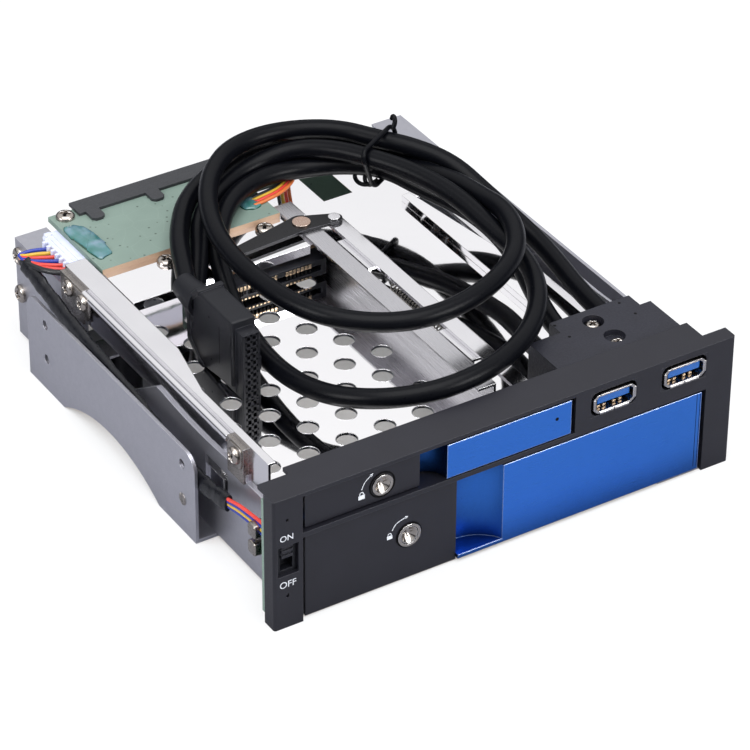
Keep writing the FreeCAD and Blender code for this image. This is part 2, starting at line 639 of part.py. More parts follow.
def make_switch():
    left = S.switch_in - HALF_WIDE + S.slide_gap
    right = left + S.switch_wide - S.slide_gap * 2
    low = S.switch_low - S.front_skin + S.slide_gap
    high = S.switch_low + S.switch_tall + S.front_skin - S.slide_gap
    middle = (left + right) / 2
    body = piece("switch_body")
    slab(body, "y", S.front_skin, S.bezel_thick, box(left, right, low, high))
    recess = S.bezel_thick - S.front_skin
    channel = S.slider_wide / 2 + S.slide_gap
    top = S.switch_low + S.switch_tall
    channel_low = top - S.slider_tall - S.slider_travel - S.slide_gap * 2
    cut(body, "y", S.front_skin, recess,
        box(middle - channel, middle + channel, channel_low, top))
    slider = piece("switch_slider")
    slider_high = top - S.slide_gap
    slab(slider, "y", S.front_skin / 2, recess - S.slide_gap / 3,
         box(middle - S.slider_wide / 2, middle + S.slider_wide / 2, slider_high - S.slider_tall, slider_high))
    groove = S.slider_tall / 5
    for step in range(2):
        ridge = slider_high - groove * (1.5 + 2 * step)
        cut(slider, "y", S.front_skin / 2, S.front_skin,
            box(middle - S.slider_wide / 2, middle + S.slider_wide / 2, ridge - groove / 2, ridge + groove / 2))
    board = piece("switch_board")
    board_left = -HALF_WIDE + S.slide_gap
    slab(board, "y", S.bezel_thick, S.bezel_thick + S.board_thick,
         box(board_left, board_left + S.switch_board_wide,
             S.switch_board_low, S.switch_board_low + S.switch_board_tall))


def side_plate(name, side):
    """Outer plate: two feet with an arch between them, four mounting holes, flanges turned in."""
    plate = piece(name)
    rear = S.side_front + S.side_length
    low, high = (SIDE_LINE, SIDE_FACE) if side > 0 else (-SIDE_FACE, -SIDE_LINE)
    slab(plate, "x", low, high, box(S.side_front, rear, FRONT, S.side_height))
    arch_front = S.side_front + S.front_foot
    arch_rear = rear - S.rear_foot
    chord = (arch_rear.value - arch_front.value) / 2
    drop = (chord ** 2 - S.arch_rise.value ** 2) / (2 * S.arch_rise.value)
    bore(plate, "x", low, high, [((arch_front + arch_rear) / 2, -drop, drop + S.arch_rise.value)])
    holes = []
    for along in (S.hole_front, S.hole_front + S.hole_pitch):
        for up in (S.hole_low, S.hole_low + S.hole_rise):
            holes.append((along, up, S.hole_radius))
    bore(plate, "x", low, high, holes)
    round_edges(plate, S.side_round, "x",
                lambda point: near(point.z, S.side_height) and (near(point.y, S.side_front) or near(point.y, rear)))
    reach_low, reach_high = (SIDE_FACE - S.foot_flange, SIDE_LINE) if side > 0 else (
        -SIDE_LINE, S.foot_flange - SIDE_FACE)
    for foot_low, foot_high in ((S.side_front, arch_front), (arch_rear, rear)):
        slab(plate, "z", FRONT, S.side_thick, box(reach_low, reach_high, foot_low, foot_high))


def inner_wall(name, side):
    """Inner wall: arched edge beside the upper bay, gap at the rear roller, rear upright with a flange."""
    wall = piece(name)
    low, high = (INNER_LINE, INNER_FACE) if side > 0 else (-INNER_FACE, -INNER_LINE)
    foot = S.side_thick
    crest_front = S.crest_front if side < 0 else S.bezel_thick + S.usb_deep + S.usb_step + S.ridge_narrow
    slab(wall, "x", low, high, [
        (S.inner_front, foot), (S.inner_rear, foot), (S.inner_rear, S.upright_top),
        (S.upright_front, S.upright_top), (S.upright_front, S.wall_low), (S.low_front, S.wall_low),
        (S.low_front, S.wall_step), (S.crest_rear, S.wall_crest), (crest_front, S.wall_crest),
        (crest_front, S.deck_top), (S.inner_front, S.deck_top)])
    # shallow dip of the arched edge: part of a large cylinder
    chord = (S.crest_rear.value - crest_front.value) * 0.45
    dip = S.wall_dip.value
    dip_radius = (chord ** 2 + dip ** 2) / (2 * dip)
    bore(wall, "x", low, high, [((crest_front + S.crest_rear) / 2, S.wall_crest + (dip_radius - dip), dip_radius)])
    cut(wall, "x", low, high, box(S.window_front, S.window_front + S.window_long,
                                  S.window_low, S.window_low + S.window_tall))
    reach_low, reach_high = (INNER_FACE - S.upright_flange, INNER_LINE) if side > 0 else (
        -INNER_LINE, S.upright_flange - INNER_FACE)
    slab(wall, "z", S.upright_top - S.sheet_thick, S.upright_top,
         box(reach_low, reach_high, S.flange_front, S.inner_rear))
    slide_low, slide_high = (INNER_LINE - S.slide_flange, INNER_LINE) if side > 0 else (
        -INNER_LINE, S.slide_flange - INNER_LINE)
    slab(wall, "z", foot, foot + S.sheet_thick,
         box(slide_low, slide_high, S.inner_front, S.large_board_front - S.tab_length))


def make_deck():
    deck = piece("middle_deck")
    left = -INNER_LINE
    slab(deck, "z", DECK_UNDER, S.deck_top, [
        (left, S.deck_front), (INNER_LINE, S.deck_front), (INNER_LINE, S.trough_front),
        (S.ridge_left + S.ridge_wide, S.trough_front), (S.ridge_left + S.ridge_wide, S.crest_rear),
        (S.ridge_left + S.ridge_narrow, S.trough_rear), (INNER_LINE, S.trough_rear), (INNER_LINE, S.deck_rear),
        (left, S.deck_rear)])
    slab(deck, "z", S.deck_top, S.deck_top + S.ridge_rise, [
        (S.ridge_left, S.trough_front), (S.ridge_left + S.ridge_wide, S.trough_front),
        (S.ridge_left + S.ridge_wide, S.crest_rear), (S.ridge_left + S.ridge_narrow, S.trough_rear),
        (S.ridge_left, S.trough_rear)])
    first = []
    for row in range(4):
        first.append((-S.hole_first_x, S.hole_first_y + S.hole_step_y * row, S.deck_hole))
        first.append((-S.hole_first_x + S.hole_step_x / 2, S.hole_first_y + S.hole_step_y * (row + 0.5), S.deck_hole))
    column = bore(deck, "z", DECK_UNDER, S.deck_top, first)
    columns = 5
    pattern = deck.newObject("PartDesign::LinearPattern", "deck_holes")
    pattern.Originals = [column]
    pattern.Direction = (origin_feature(deck, "X_Axis"), [""])
    pattern.setExpression("Length", formula(S.hole_step_x * (columns - 1)))
    pattern.Occurrences = columns
    deck.Tip = pattern
    cut(deck, "z", DECK_UNDER, S.deck_top,
        box(S.usb_left, S.usb_left + S.ridge_wide, S.notch_front, S.deck_rear))


def bay_rail(name, side, rear):
    """C-shaped rail of the 2.5 inch bay: web on the deck, flange turned into the bay at the top."""
    rail = piece(name)
    web_low, web_high = (S.bay_right, S.bay_right + S.sheet_thick) if side > 0 else (
        BAY_LEFT - S.sheet_thick, BAY_LEFT)
    slab(rail, "x", web_low, web_high, box(S.rail_front, rear, S.deck_top, S.rail_top))
    flange_low = S.rail_top - S.sheet_thick
    if side > 0:
        slab(rail, "z", flange_low, S.rail_top,
             box(web_high - S.rail_flange, web_low, S.rail_front, rear))
        slab(rail, "z", S.deck_top, S.deck_top + S.sheet_thick,
             box(web_high, web_high + S.bar_thick, S.rail_front, rear))
        tab_rear = S.tab_front + S.tab_length
        slab(rail, "z", flange_low, S.rail_top, box(web_high - S.rail_flange, web_low, S.tab_front, tab_rear))
        slab(rail, "x", web_low, web_high, box(rear, tab_rear, S.deck_top, flange_low))
        slab(rail, "x", web_low, web_high, box(S.tab_front, tab_rear, flange_low, S.rail_top))
        # the flange steps down where it carries the lever's rivet
        slab(rail, "z", flange_low - S.sheet_thick, flange_low,
             box(web_high - S.rail_flange, web_low, rear - S.sheet_thick, S.tab_front + S.sheet_thick),
             [(S.pivot_x, S.pivot_y, S.pivot_radius)])
    else:
        narrow = S.rail_flange / 4
        slab(rail, "z", flange_low, S.rail_top, [
            (web_high, S.rail_front), (web_high + narrow, S.rail_front),
            (web_high + narrow, S.crest_front + S.crest_front), (web_high + S.rail_flange, S.crest_rear),
            (web_high + S.rail_flange, rear), (web_high, rear)])
        # rolled outer edge, a bead along the outside of the web
        disc(rail, "y", S.crest_front + S.tab_length, S.upright_front,
             [(web_low - S.curl_radius * 0.6, flange_low - S.curl_radius * 1.4, S.curl_radius)])


def make_bridge():
    bridge = piece("rear_bridge_plate")
    under = S.bridge_top - S.sheet_thick
    right = S.bay_right - S.rail_flange + S.sheet_thick - S.end_gap / 2
    front = S.bridge_front
    notch_right = S.pivot_x - S.finger_x + S.finger_wide * 1.6
    notch_left = S.pivot_x - S.finger_x - S.finger_wide * 1.2
    notch_rear = S.pivot_y - S.finger_y + S.finger_wide
    board_hook = S.board_front + S.strap_thick
    step_in = S.bridge_left - S.finger_wide
    slab(bridge, "z", under, S.bridge_top, [
        (-S.bridge_left, front), (notch_left, front), (notch_left, notch_rear), (notch_right, notch_rear),
        (notch_right, front), (right, front), (right, S.deck_rear), (-step_in, S.deck_rear),
        (-step_in, board_hook), (-S.bridge_left, board_hook)])
    for low, high in ((-S.bridge_left, notch_left), (notch_right, right)):
        slab(bridge, "z", S.bridge_top - S.bridge_lip, under, box(low, high, front, front + S.sheet_thick))
    # two legs carry the plate on the deck, behind the drive
    for low in (-step_in, -S.pivot_x - S.sheet_thick):
        slab(bridge, "x", low, low + S.sheet_thick,
             box(S.notch_front - S.tab_length, S.notch_front, S.deck_top, under))


def make_boards():
    board = piece("upper_backplane_board")
    left = -S.board_left
    top = S.bridge_top + S.board_thick
    slab(board, "z", S.bridge_top, top, box(left, left + S.board_wide, S.board_front, S.board_rear))
    strip = piece("insulator_strip")
    strip_left = left + S.lever_boss * 2
    rear = S.board_rear + S.strip_over
    front = rear - S.strip_deep
    outline = [(strip_left, rear), (strip_left, front)]
    for place in range(3):
        tab = strip_left + S.strip_tab / 2 + (S.strip_wide - S.strip_tab * 2) / 2 * place
        corner = S.strip_tab / 4
        outline += [(tab, front), (tab, front - S.strip_tab_out + corner), (tab + corner, front - S.strip_tab_out),
                    (tab + S.strip_tab - corner, front - S.strip_tab_out),
                    (tab + S.strip_tab, front - S.strip_tab_out + corner), (tab + S.strip_tab, front)]
    outline += [(strip_left + S.strip_wide, front), (strip_left + S.strip_wide, rear)]
    slab(strip, "z", top, top + S.strip_thick, outline)
    beads = piece("resin_beads")
    for low_x, wide, low_y, deep in (
            (left + S.strip_thick, S.strip_tab, S.board_front + S.strip_tab_out, S.tab_length * 2),
            (left + S.board_wide - S.tab_length, S.strip_tab * 1.6, S.board_front + S.strip_tab_out, S.strip_tab * 2)):
        slab(beads, "z", top, top + S.bead_rise, box(low_x, low_x + wide, low_y, low_y + deep))
    header = piece("switch_header")
    header_left = left - S.rail_flange
    slab(header, "z", S.bridge_top - S.rail_flange, S.bridge_top,
         box(header_left, left + S.strip_thick * 2, S.board_front + S.strip_tab_out, S.board_rear - S.strip_tab_out))


def drive_socket(name, right, front, low):
    """22-way drive socket: a bar with two slots that take the drive's tongues."""
    socket = piece(name)
    left = right - S.socket_wide
    slab(socket, "y", front, front + S.socket_deep, box(left, right, low, low + S.socket_tall))
    wall = S.tongue_thick
    key = S.socket_wide * 0.36
    slot_low = low + S.socket_tall * 0.3
    slot_high = low + S.socket_tall * 0.68
    for slot_left, slot_right in ((left + wall, left + key - wall / 2), (left + key + wall / 2, right - wall)):
        cut(socket, "y", front, front + S.socket_deep * 0.7, box(slot_left, slot_right, slot_low, slot_high))


def make_backplanes():
    drive_socket("upper_drive_socket", S.small_socket_right, S.small_socket_front, S.small_socket_low)
    riser = piece("upper_socket_board")
    back = S.small_socket_front + S.socket_deep
    slab(riser, "y", back, back + S.board_thick,
         box(S.small_socket_right - S.socket_wide - S.end_gap, S.small_socket_right + S.end_gap / 2,
             S.deck_top, S.small_socket_low + S.socket_tall))
    large_right = S.socket_wide / 2
    drive_socket("lower_drive_socket", large_right, S.large_board_front - S.socket_deep, S.large_socket_low)
    board = piece("lower_backplane_board")
    front = S.large_board_front
    back = front + S.board_thick
    slab(board, "y", front, back, box(-INNER_LINE + S.end_gap, INNER_LINE - S.end_gap, S.side_thick * 2, DECK_UNDER))
    cut(board, "y", front, back, box(S.corner_x, INNER_LINE, S.corner_z, DECK_UNDER))
    # two steel angles join the board to the inner walls
    brackets = piece("backplane_brackets")
    for side in (-1, 1):
        low, high = (INNER_LINE - S.sheet_thick, INNER_LINE) if side > 0 else (
            -INNER_LINE, S.sheet_thick - INNER_LINE)
        slab(brackets, "x", low, high,
             box(front - S.tab_length, S.inner_rear, S.roller_low * 2, DECK_UNDER - S.roller_low))
        reach_low, reach_high = (INNER_LINE - S.tab_length, low) if side > 0 else (high, S.tab_length - INNER_LINE)
        slab(brackets, "y", front - S.sheet_thick, front,
             box(reach_low, reach_high, S.roller_low * 2, DECK_UNDER - S.roller_low))
    rear_sockets = piece("rear_sockets")
    for place in range(2):
        left = -S.socket_wide + S.socket_wide * place * 0.6
        slab(rear_sockets, "y", back, S.cage_depth,
             box(left, left + S.socket_wide * 0.38, S.roller_low, S.roller_low + S.strip_deep))
        cut(rear_sockets, "y", back + S.socket_deep / 2, S.cage_depth,
            box(left + S.tongue_thick, left + S.socket_wide * 0.38 - S.tongue_thick,
                S.roller_low + S.tongue_thick, S.roller_low + S.strip_deep - S.tongue_thick))
    left = S.socket_wide * 0.3
    slab(rear_sockets, "y", back, S.cage_depth,
         box(left, left + S.socket_wide * 0.6, S.roller_low, S.roller_low + S.strip_deep))
    cut(rear_sockets, "y", back + S.socket_deep / 2, S.cage_depth,
        box(left + S.tongue_thick, left + S.socket_wide * 0.6 - S.tongue_thick,
            S.roller_low + S.tongue_thick, S.roller_low + S.strip_deep - S.tongue_thick))


def eject_lever(name, pivot, arm, finger, low, finger_low):
    """Flat lever: boss at the pivot, slotted short arm to the push bar, long tapered arm with a finger."""
    lever = piece(name)
    high = low + S.lever_thick
    pivot_x, pivot_y = pivot
    arm_x, arm_y = pivot_x + arm[0], pivot_y + arm[1]
    tip_x, tip_y = pivot_x - finger[0], pivot_y - finger[1]
    boss = S.lever_boss
    end = S.bar_screw * 2.4
    slab(lever, "z", low, high, [
        (tip_x - S.finger_wide / 2, tip_y - S.finger_wide / 2), (pivot_x, pivot_y - boss),
        (arm_x, arm_y - end), (arm_x, arm_y + end), (pivot_x, pivot_y + boss),
        (tip_x - S.finger_wide / 2, tip_y + S.finger_wide / 2)])
    disc(lever, "z", low, high, [(pivot_x, pivot_y, boss), (arm_x, arm_y, end)])
    slab(lever, "z", finger_low, low, box(tip_x - S.finger_wide / 2, tip_x + S.finger_wide / 2,
                                          tip_y - S.finger_wide / 2, tip_y + S.finger_wide / 2))
    bore(lever, "z", low, high, [(pivot_x, pivot_y, S.pivot_radius + S.run_clear)])
    slot = S.bar_screw + S.run_clear * 2
    cut(lever, "z", low, high, box(arm_x - slot * 1.25, arm_x + slot * 1.25, arm_y - slot, arm_y + slot))


def make_ejectors():
    lever_low = S.rail_top + S.lever_gap
    lever_high = lever_low + S.lever_thick
    eject_lever("upper_eject_lever", (S.pivot_x, S.pivot_y), (S.lever_arm_x, -S.lever_arm_y),
                (S.finger_x, S.finger_y), lever_low, S.deck_top + S.finger_rise)
    rivets = piece("pivot_rivets")
    head = S.strap_thick / 2
    disc(rivets, "z", lever_low - S.lever_gap - S.sheet_thick * 2, lever_high,
         [(S.pivot_x, S.pivot_y, S.pivot_radius)])
    disc(rivets, "z", lever_high, lever_high + head, [(S.pivot_x, S.pivot_y, S.pivot_head)])
    bar_x = S.pivot_x + S.lever_arm_x
    bar_end = S.pivot_y - S.lever_arm_y
    bar_high = lever_low - S.lever_gap
    bar_low = bar_high - S.bar_thick
    bar_left = bar_x - S.bar_screw * 2.2
    bar = piece("upper_push_bar")
    slab(bar, "z", bar_low, bar_high,
         box(bar_left, bar_left + S.bar_wide, S.small_bar_front, bar_end + S.bar_screw * 2))
    disc(bar, "z", bar_high, lever_high, [(bar_x, bar_end, S.bar_screw)])
    disc(bar, "z", lever_high, lever_high + head, [(bar_x, bar_end, S.bar_screw * 1.8)])
    # channel that guides the bar, with the bracket whose three holes hold the spring
    guide = piece("bar_guides")
    guide_left = S.bay_right + S.sheet_thick + S.bar_thick + S.slide_gap
    guide_high = bar_low - S.slide_gap / 5
    for start in (S.trough_front - S.tab_length, S.crest_rear + S.tab_length):
        slab(guide, "z", guide_high - S.sheet_thick, guide_high,
             box(guide_left, bar_left + S.bar_wide + S.bar_thick, start, start + S.tab_length * 2))
        slab(guide, "x", guide_left, guide_left + S.sheet_thick,
             box(start, start + S.tab_length * 2, S.deck_top, guide_high - S.sheet_thick))
    spring = piece("return_spring")
    spring_x = guide_left + S.coil_radius + S.sheet_thick * 1.5
    spring_z = guide_high - S.sheet_thick - S.coil_radius * 1.5
    disc(spring, "y", S.trough_front + S.tab_length, S.crest_rear, [(spring_x, spring_z, S.coil_radius)])
    make_lower_ejector(rivets, guide, head)


def make_lower_ejector(rivets, guide, head):
    """Angled lever behind the corner of the 3.5 inch drive, and the bar that the lower door pushes."""
    high = DECK_UNDER - S.large_bar_gap
    low = high - S.lever_thick
    pivot_x, pivot_y = S.large_pivot_x, S.large_pivot_y
    arm_x, arm_y = pivot_x + S.large_arm_x, pivot_y - S.lever_arm_y
    tip_x, tip_y = pivot_x - S.large_finger_x, pivot_y + S.large_finger_y
    half = S.crank_wide / 2
    end = S.bar_screw * 2.2
    lever = piece("lower_eject_lever")
    slab(lever, "z", low, high, [
        (pivot_x - half, pivot_y - half), (arm_x, arm_y - end), (arm_x, arm_y + end),
        (pivot_x + half, pivot_y + half), (pivot_x + half, tip_y + half), (tip_x, tip_y + half),
        (tip_x, tip_y - half), (pivot_x - half, tip_y - half)])
    disc(lever, "z", low, high, [(pivot_x, pivot_y, S.pivot_radius * 2), (arm_x, arm_y, end), (tip_x, tip_y, half)])
    disc(lever, "z", low - S.large_finger_tall, low, [(tip_x, tip_y, half)])
    bore(lever, "z", low, high, [(pivot_x, pivot_y, S.pivot_radius + S.run_clear)])
    slot = S.bar_screw + S.run_clear * 3
    cut(lever, "z", low, high, box(arm_x - slot * 1.25, arm_x + slot * 1.25, arm_y - slot, arm_y + slot))
    rivet_low = low - S.lever_gap
    disc(rivets, "z", rivet_low, DECK_UNDER, [(pivot_x, pivot_y, S.pivot_radius)])
    disc(rivets, "z", rivet_low - head, rivet_low, [(pivot_x, pivot_y, S.pivot_head)])
    bar = piece("lower_push_bar")
    bar_left = arm_x - S.bar_wide / 2
    bar_right = bar_left + S.bar_wide
    bar_low = rivet_low - S.bar_thick
    slab(bar, "z", bar_low, rivet_low, box(bar_left, bar_right, S.large_bar_front, arm_y + S.bar_screw * 2))
    disc(bar, "z", rivet_low, high, [(arm_x, arm_y, S.bar_screw)])
    # hangers under the deck carry the bar
    tray_high = bar_low - S.slide_gap / 5
    web_left = bar_right + S.slide_gap
    for start in (S.deck_front + S.hinge_plate, S.trough_rear + S.hinge_plate):
        slab(guide, "z", tray_high - S.sheet_thick, tray_high,
             box(bar_left, web_left + S.sheet_thick, start, start + S.tab_length))
        slab(guide, "x", web_left, web_left + S.sheet_thick,
             box(start, start + S.tab_length, tray_high, DECK_UNDER))


def make_rollers():
    ears = piece("roller_brackets")
    pins = piece("roller_pins")
    ear_low = S.roller_low - S.roller_float - S.sheet_thick
    ear_high = S.roller_low + S.roller_tall + S.roller_float
    half = S.ear_wide / 2
    for side, word in ((-1, "left"), (1, "right")):
        for along, end in ((S.roller_front, "front"), (S.roller_rear, "rear")):
            x = S.roller_out * side
            roller = piece(f"{end}_{word}_roller")
            disc(roller, "z", S.roller_low, S.roller_low + S.roller_tall, [(x, along, S.roller_radius)])
            bore(roller, "z", S.roller_low, S.roller_low + S.roller_tall,
                 [(x, along, S.roller_pin + S.roller_clear)])
            disc(pins, "z", ear_low, ear_high + S.sheet_thick * 2, [(x, along, S.roller_pin)])
            web_low, web_high = (INNER_LINE - S.sheet_thick, INNER_LINE) if side > 0 else (
                -INNER_LINE, S.sheet_thick - INNER_LINE)
            slab(ears, "x", web_low, web_high, box(along - half, along + half, ear_low, ear_high + S.sheet_thick))
            reach_low, reach_high = (x - half * 0.8, web_low) if side > 0 else (web_high, x + half * 0.8)
            for level in (ear_low, ear_high):
                slab(ears, "z", level, level + S.sheet_thick,
                     box(reach_low, reach_high, along - half, along + half), [(x, along, S.roller_pin)])


def make_usb():
    housing = piece("usb_housing")
    front = S.bezel_thick
    left = S.usb_left
    right = left + S.usb_wide
    back = front + S.usb_deep
    chamfer = S.lever_boss
    slab(housing, "z", S.deck_top, S.usb_top, [
        (left + chamfer, front), (right, front), (right, back), (left, back), (left, front + chamfer)])
    step_left = left + S.usb_step_in
    slab(housing, "z", S.deck_top, S.usb_top, box(step_left, step_left + S.usb_step_wide, back, back + S.usb_step))
    pocket_tall = S.port_tall / 2 + S.port_gap
    for place in range(2):
        middle = S.port_first + S.port_pitch * place
        pocket = S.port_wide / 2 + S.port_gap
        cut(housing, "y", front, S.port_long, box(middle - pocket, middle + pocket,
                                                  S.port_mid - pocket_tall, S.port_mid + pocket_tall))
    wells = [(left + S.usb_wide * 0.525, back, S.well_radius),
             (left + S.usb_wide * 0.55, back - S.well_radius * 2.9, S.well_radius)]
    bore(housing, "z", S.usb_top - S.well_deep / 3, S.usb_top, wells[1:])
    bore(housing, "z", S.usb_top - S.well_deep, S.usb_top, wells[:1])
    screws = next(item for item in PIECES if item.Label == "pan_screws")
    for (x, y, radius), deep in zip(wells, (S.well_deep, S.well_deep / 3)):
        disc(screws, "z", S.usb_top - deep, S.usb_top - deep + S.screw_rise * 0.7, [(x, y, radius * 0.75)])
    shell = piece("usb_shells")
    tongue = piece("usb_tongues")
    for place in range(2):
        middle = S.port_first + S.port_pitch * place
        half_wide = S.port_wide / 2
        half_tall = S.port_tall / 2
        collar = S.port_collar
        slab(shell, "y", -S.port_proud, S.port_long,
             box(middle - half_wide, middle + half_wide, S.port_mid - half_tall, S.port_mid + half_tall))
        slab(shell, "y", -S.port_proud, S.front_skin,
             box(middle - half_wide - collar, middle + half_wide + collar,
                 S.port_mid - half_tall - collar, S.port_mid + half_tall + collar))
        cut(shell, "y", -S.port_proud, S.port_long - S.port_wall,
            box(middle - half_wide + S.port_wall, middle + half_wide - S.port_wall,
                S.port_mid - half_tall + S.port_wall, S.port_mid + half_tall - S.port_wall))
        tongue_high = S.port_mid + half_tall - S.port_wall * 2
        slab(tongue, "y", S.front_skin, S.port_long - S.port_wall,
             box(middle - S.tongue_wide / 2, middle + S.tongue_wide / 2, tongue_high - S.tongue_thick, tongue_high))


def make_screws():
    screws = piece("pan_screws")
    for x in (-S.hole_first_x * 0.69, -S.hole_step_x * 0.57):
        pan_head(screws, "z", x, S.board_front - S.bridge_screw, S.bridge_top, 1)
    pan_head(screws, "z", S.strip_tab - S.board_left, S.board_rear - S.screw_head, S.bridge_top + S.board_thick, 1)
    for up in (S.rear_screw_high, S.rear_screw_low):
        for end in (-1, 1):
            pan_head(screws, "x", S.inner_rear - S.screw_head, up, INNER_FACE * end, end)
    # clips hold the left bay rail to the inner wall
    clips = piece("rail_clips")
    outside = -INNER_FACE - S.sheet_thick
    for front, low, rear in ((S.crest_front, S.wall_crest, S.crest_front + S.tab_length),
                             (S.upright_front, S.upright_top, S.left_rail_end)):
        slab(clips, "x", outside, -INNER_FACE, box(front, rear, S.clip_low, S.clip_top))
        slab(clips, "x", -INNER_FACE, -INNER_LINE, box(front, rear, low, S.clip_top))
        pan_head(screws, "x", (front + rear) / 2, (S.clip_low + S.clip_top) / 2, outside, -1)


# share of the shorter of two runs that the arc between them takes, and slack of a tube's volume
ARC_SHARE = 0.45
VOLUME_SLACK = 0.02


def arc_path(points):
    """Straight runs joined by tangent arcs, each as large as its two runs allow. Returns edges and radii."""
    places = [V(*point) for point in points]
    edges = []
    radii = []
    start = places[0]
    for before, corner, after in zip(places, places[1:], places[2:]):
        into = (corner - before).normalize()
        out = (after - corner).normalize()
        turn = into.getAngle(out)
        reach = ARC_SHARE * min((corner - before).Length, (after - corner).Length)
        radii.append(reach / math.tan(turn / 2))
        first = corner - into * reach
        last = corner + out * reach
        middle_way = (out - into).normalize()
        centre_gap = radii[-1] / math.cos(turn / 2)
        middle = corner + middle_way * (centre_gap - radii[-1])
        edges.append(Part.LineSegment(start, first).toShape())
        edges.append(Part.Arc(first, middle, last).toShape())
        start = last
    edges.append(Part.LineSegment(start, places[-1]).toShape())
    return edges, radii


def placed(route):
    """Points of a route: X, Y from the bezel face or if negative from the rear end, Z from the bezel's top."""
    return [(x, y if y > 0 else y + number(S.cage_depth), z + number(S.bezel_height)) for x, y, z in route]


def tube(name, routes, radius):
    """One node of cords, each a solid tube along its own route."""
    solids = []
    for route in routes:
        points = placed(route)
        edges, radii = arc_path(points)
        path = Part.Wire(edges)
        along = (V(*points[1]) - V(*points[0])).normalize()
        ring = Part.Wire([Part.Circle(V(*points[0]), along, number(radius)).toShape()])
        solid = path.makePipeShell([ring], True, False)
        expected = math.pi * number(radius) ** 2 * path.Length
        if abs(solid.Volume - expected) > VOLUME_SLACK * expected:
            raise ValueError(f"{name}: volume {solid.Volume:.1f} is not {expected:.1f}")
        print(name, "length", round(path.Length, 1), "radii", [round(value, 1) for value in radii])
        solids.append(solid)
    feature = DOC.addObject("Part::Feature", name)
    feature.Label = name
    feature.Shape = Part.makeCompound(solids) if len(solids) > 1 else solids[0]
    feature.setExpression("Placement.Base.y", "Sizes.front_place")
    PIECES.append(feature)


# Routes of the cords, as placed() reads them
SLEEVE = [(-69.3, -17.4, -11.5), (-69.3, -56.0, -16.3), (-69.3, 36.0, -21.9)]
HEADER_WIRES = [(-64.1, -27.0, -5.7), (-69.6, -25.4, -5.5), (-69.7, -12.4, -5.6),
                (-69.6, -12.2, -11.3), (-69.3, -17.4, -11.5)]
SWITCH_WIRES = [(-69.3, 36.0, -21.9), (-69.6, 20.0, -21.7), (-71.2, 6.6, -19.5)]
POWER_WIRES = [(0.3, -35.0, -1.5), (12.0, -34.4, -1.5), (21.0, -13.4, -3.5),
               (21.6, -12.6, -18.5), (21.4, -10.0, -19.7)]
LEAD_RIGHT = [(56.6, 34.5, -8.1), (58.6, 72.0, -7.1), (56.4, -64.0, -0.1), (30.0, -32.0, 6.1)]
LEAD_LEFT = [(41.0, 34.5, -8.1), (41.8, 45.5, -5.9), (45.0, 74.0, 4.0)]
TAIL_LEFT = [(-46.9, -79.1, 4.5), (-46.9, -64.0, 6.1), (-42.0, -52.5, 6.5), (-26.0, -43.2, 6.5)]
TAIL_RIGHT = [(-42.0, -79.1, 0.1), (-40.9, -70.5, 2.9), (-30.6, -58.0, 6.5)]


def make_cables():
    tube("harness_sleeve", [SLEEVE], S.sleeve_radius)
    tube("internal_wires", [HEADER_WIRES, SWITCH_WIRES, POWER_WIRES], S.wires_radius)
    tube("usb_leads", [LEAD_RIGHT, LEAD_LEFT, TAIL_LEFT, TAIL_RIGHT], S.cable_radius)
    coil = piece("usb_cable_coil")
    high = S.coil_low + S.coil_tall
    disc(coil, "z", S.coil_low, high,
         [(S.coil_mid_x, S.coil_near, S.coil_outer), (S.coil_mid_x, S.coil_far, S.coil_outer)])
    slab(coil, "z", S.coil_low, high,
         box(S.coil_mid_x - S.coil_outer, S.coil_mid_x + S.coil_outer, S.coil_near, S.coil_far))
    for centre in (S.coil_near, S.coil_far):
        bore(coil, "z", S.coil_low, high, [(S.coil_mid_x, centre, S.coil_inner)])
    cut(coil, "z", S.coil_low, high,
        box(S.coil_mid_x - S.coil_inner, S.coil_mid_x + S.coil_inner, S.coil_near, S.coil_far))
    # tie round the coil, turned about the middle of the coil's rear curve
    tie = piece("cable_tie")
    tie.setExpression("Placement.Base.x", "Sizes.coil_mid_x")
    tie.setExpression("Placement.Base.y", "Sizes.front_place + Sizes.coil_far")
    tie.Placement.Rotation = FreeCAD.Rotation(V(0, 0, 1), number(S.tie_turn))
    near_side = S.coil_inner - S.tie_thick
    far_side = S.coil_outer + S.tie_thick
    half = S.tie_wide / 2
    slab(tie, "y", -half, half, box(near_side, far_side, S.coil_low - S.tie_thick, high + S.tie_thick))
    cut(tie, "y", -half, half, box(S.coil_inner, S.coil_outer, S.coil_low, high))
    slab(tie, "z", high + S.tie_thick, high + S.tie_thick + S.tie_wide,
         box(far_side - S.tie_wide * 2, far_side, -half, half))
    plug = piece("header_plug")
    left = -S.plug_left
    right = left + S.plug_shell
    floor = S.deck_top
    top = floor + S.plug_tall
    back = S.plug_front + S.plug_deep
    slab(plug, "x", left, right, [
        (S.plug_front, floor), (back, floor), (back, top - S.plug_nose), (back - S.plug_nose, top), (S.plug_front, top)])
    inset = S.door_wall
    slab(plug, "y", S.plug_front - S.plug_nose, S.plug_front,
         box(left + inset, right - inset, floor, top - inset * 2))
    rows = 10
    middle = (left + right) / 2
    first = floor + (S.plug_tall - inset * 2) / 2 - S.pin_pitch * (rows - 1) / 2
    half = S.pin_hole / 2
    for row in range(rows):
        level = first + S.pin_pitch * row
        for across in (middle - S.pin_pitch / 2, middle + S.pin_pitch / 2):
            cut(plug, "y", S.plug_front - S.plug_nose, S.plug_front - S.plug_nose / 2,
                box(across - half, across + half, level - half, level + half))


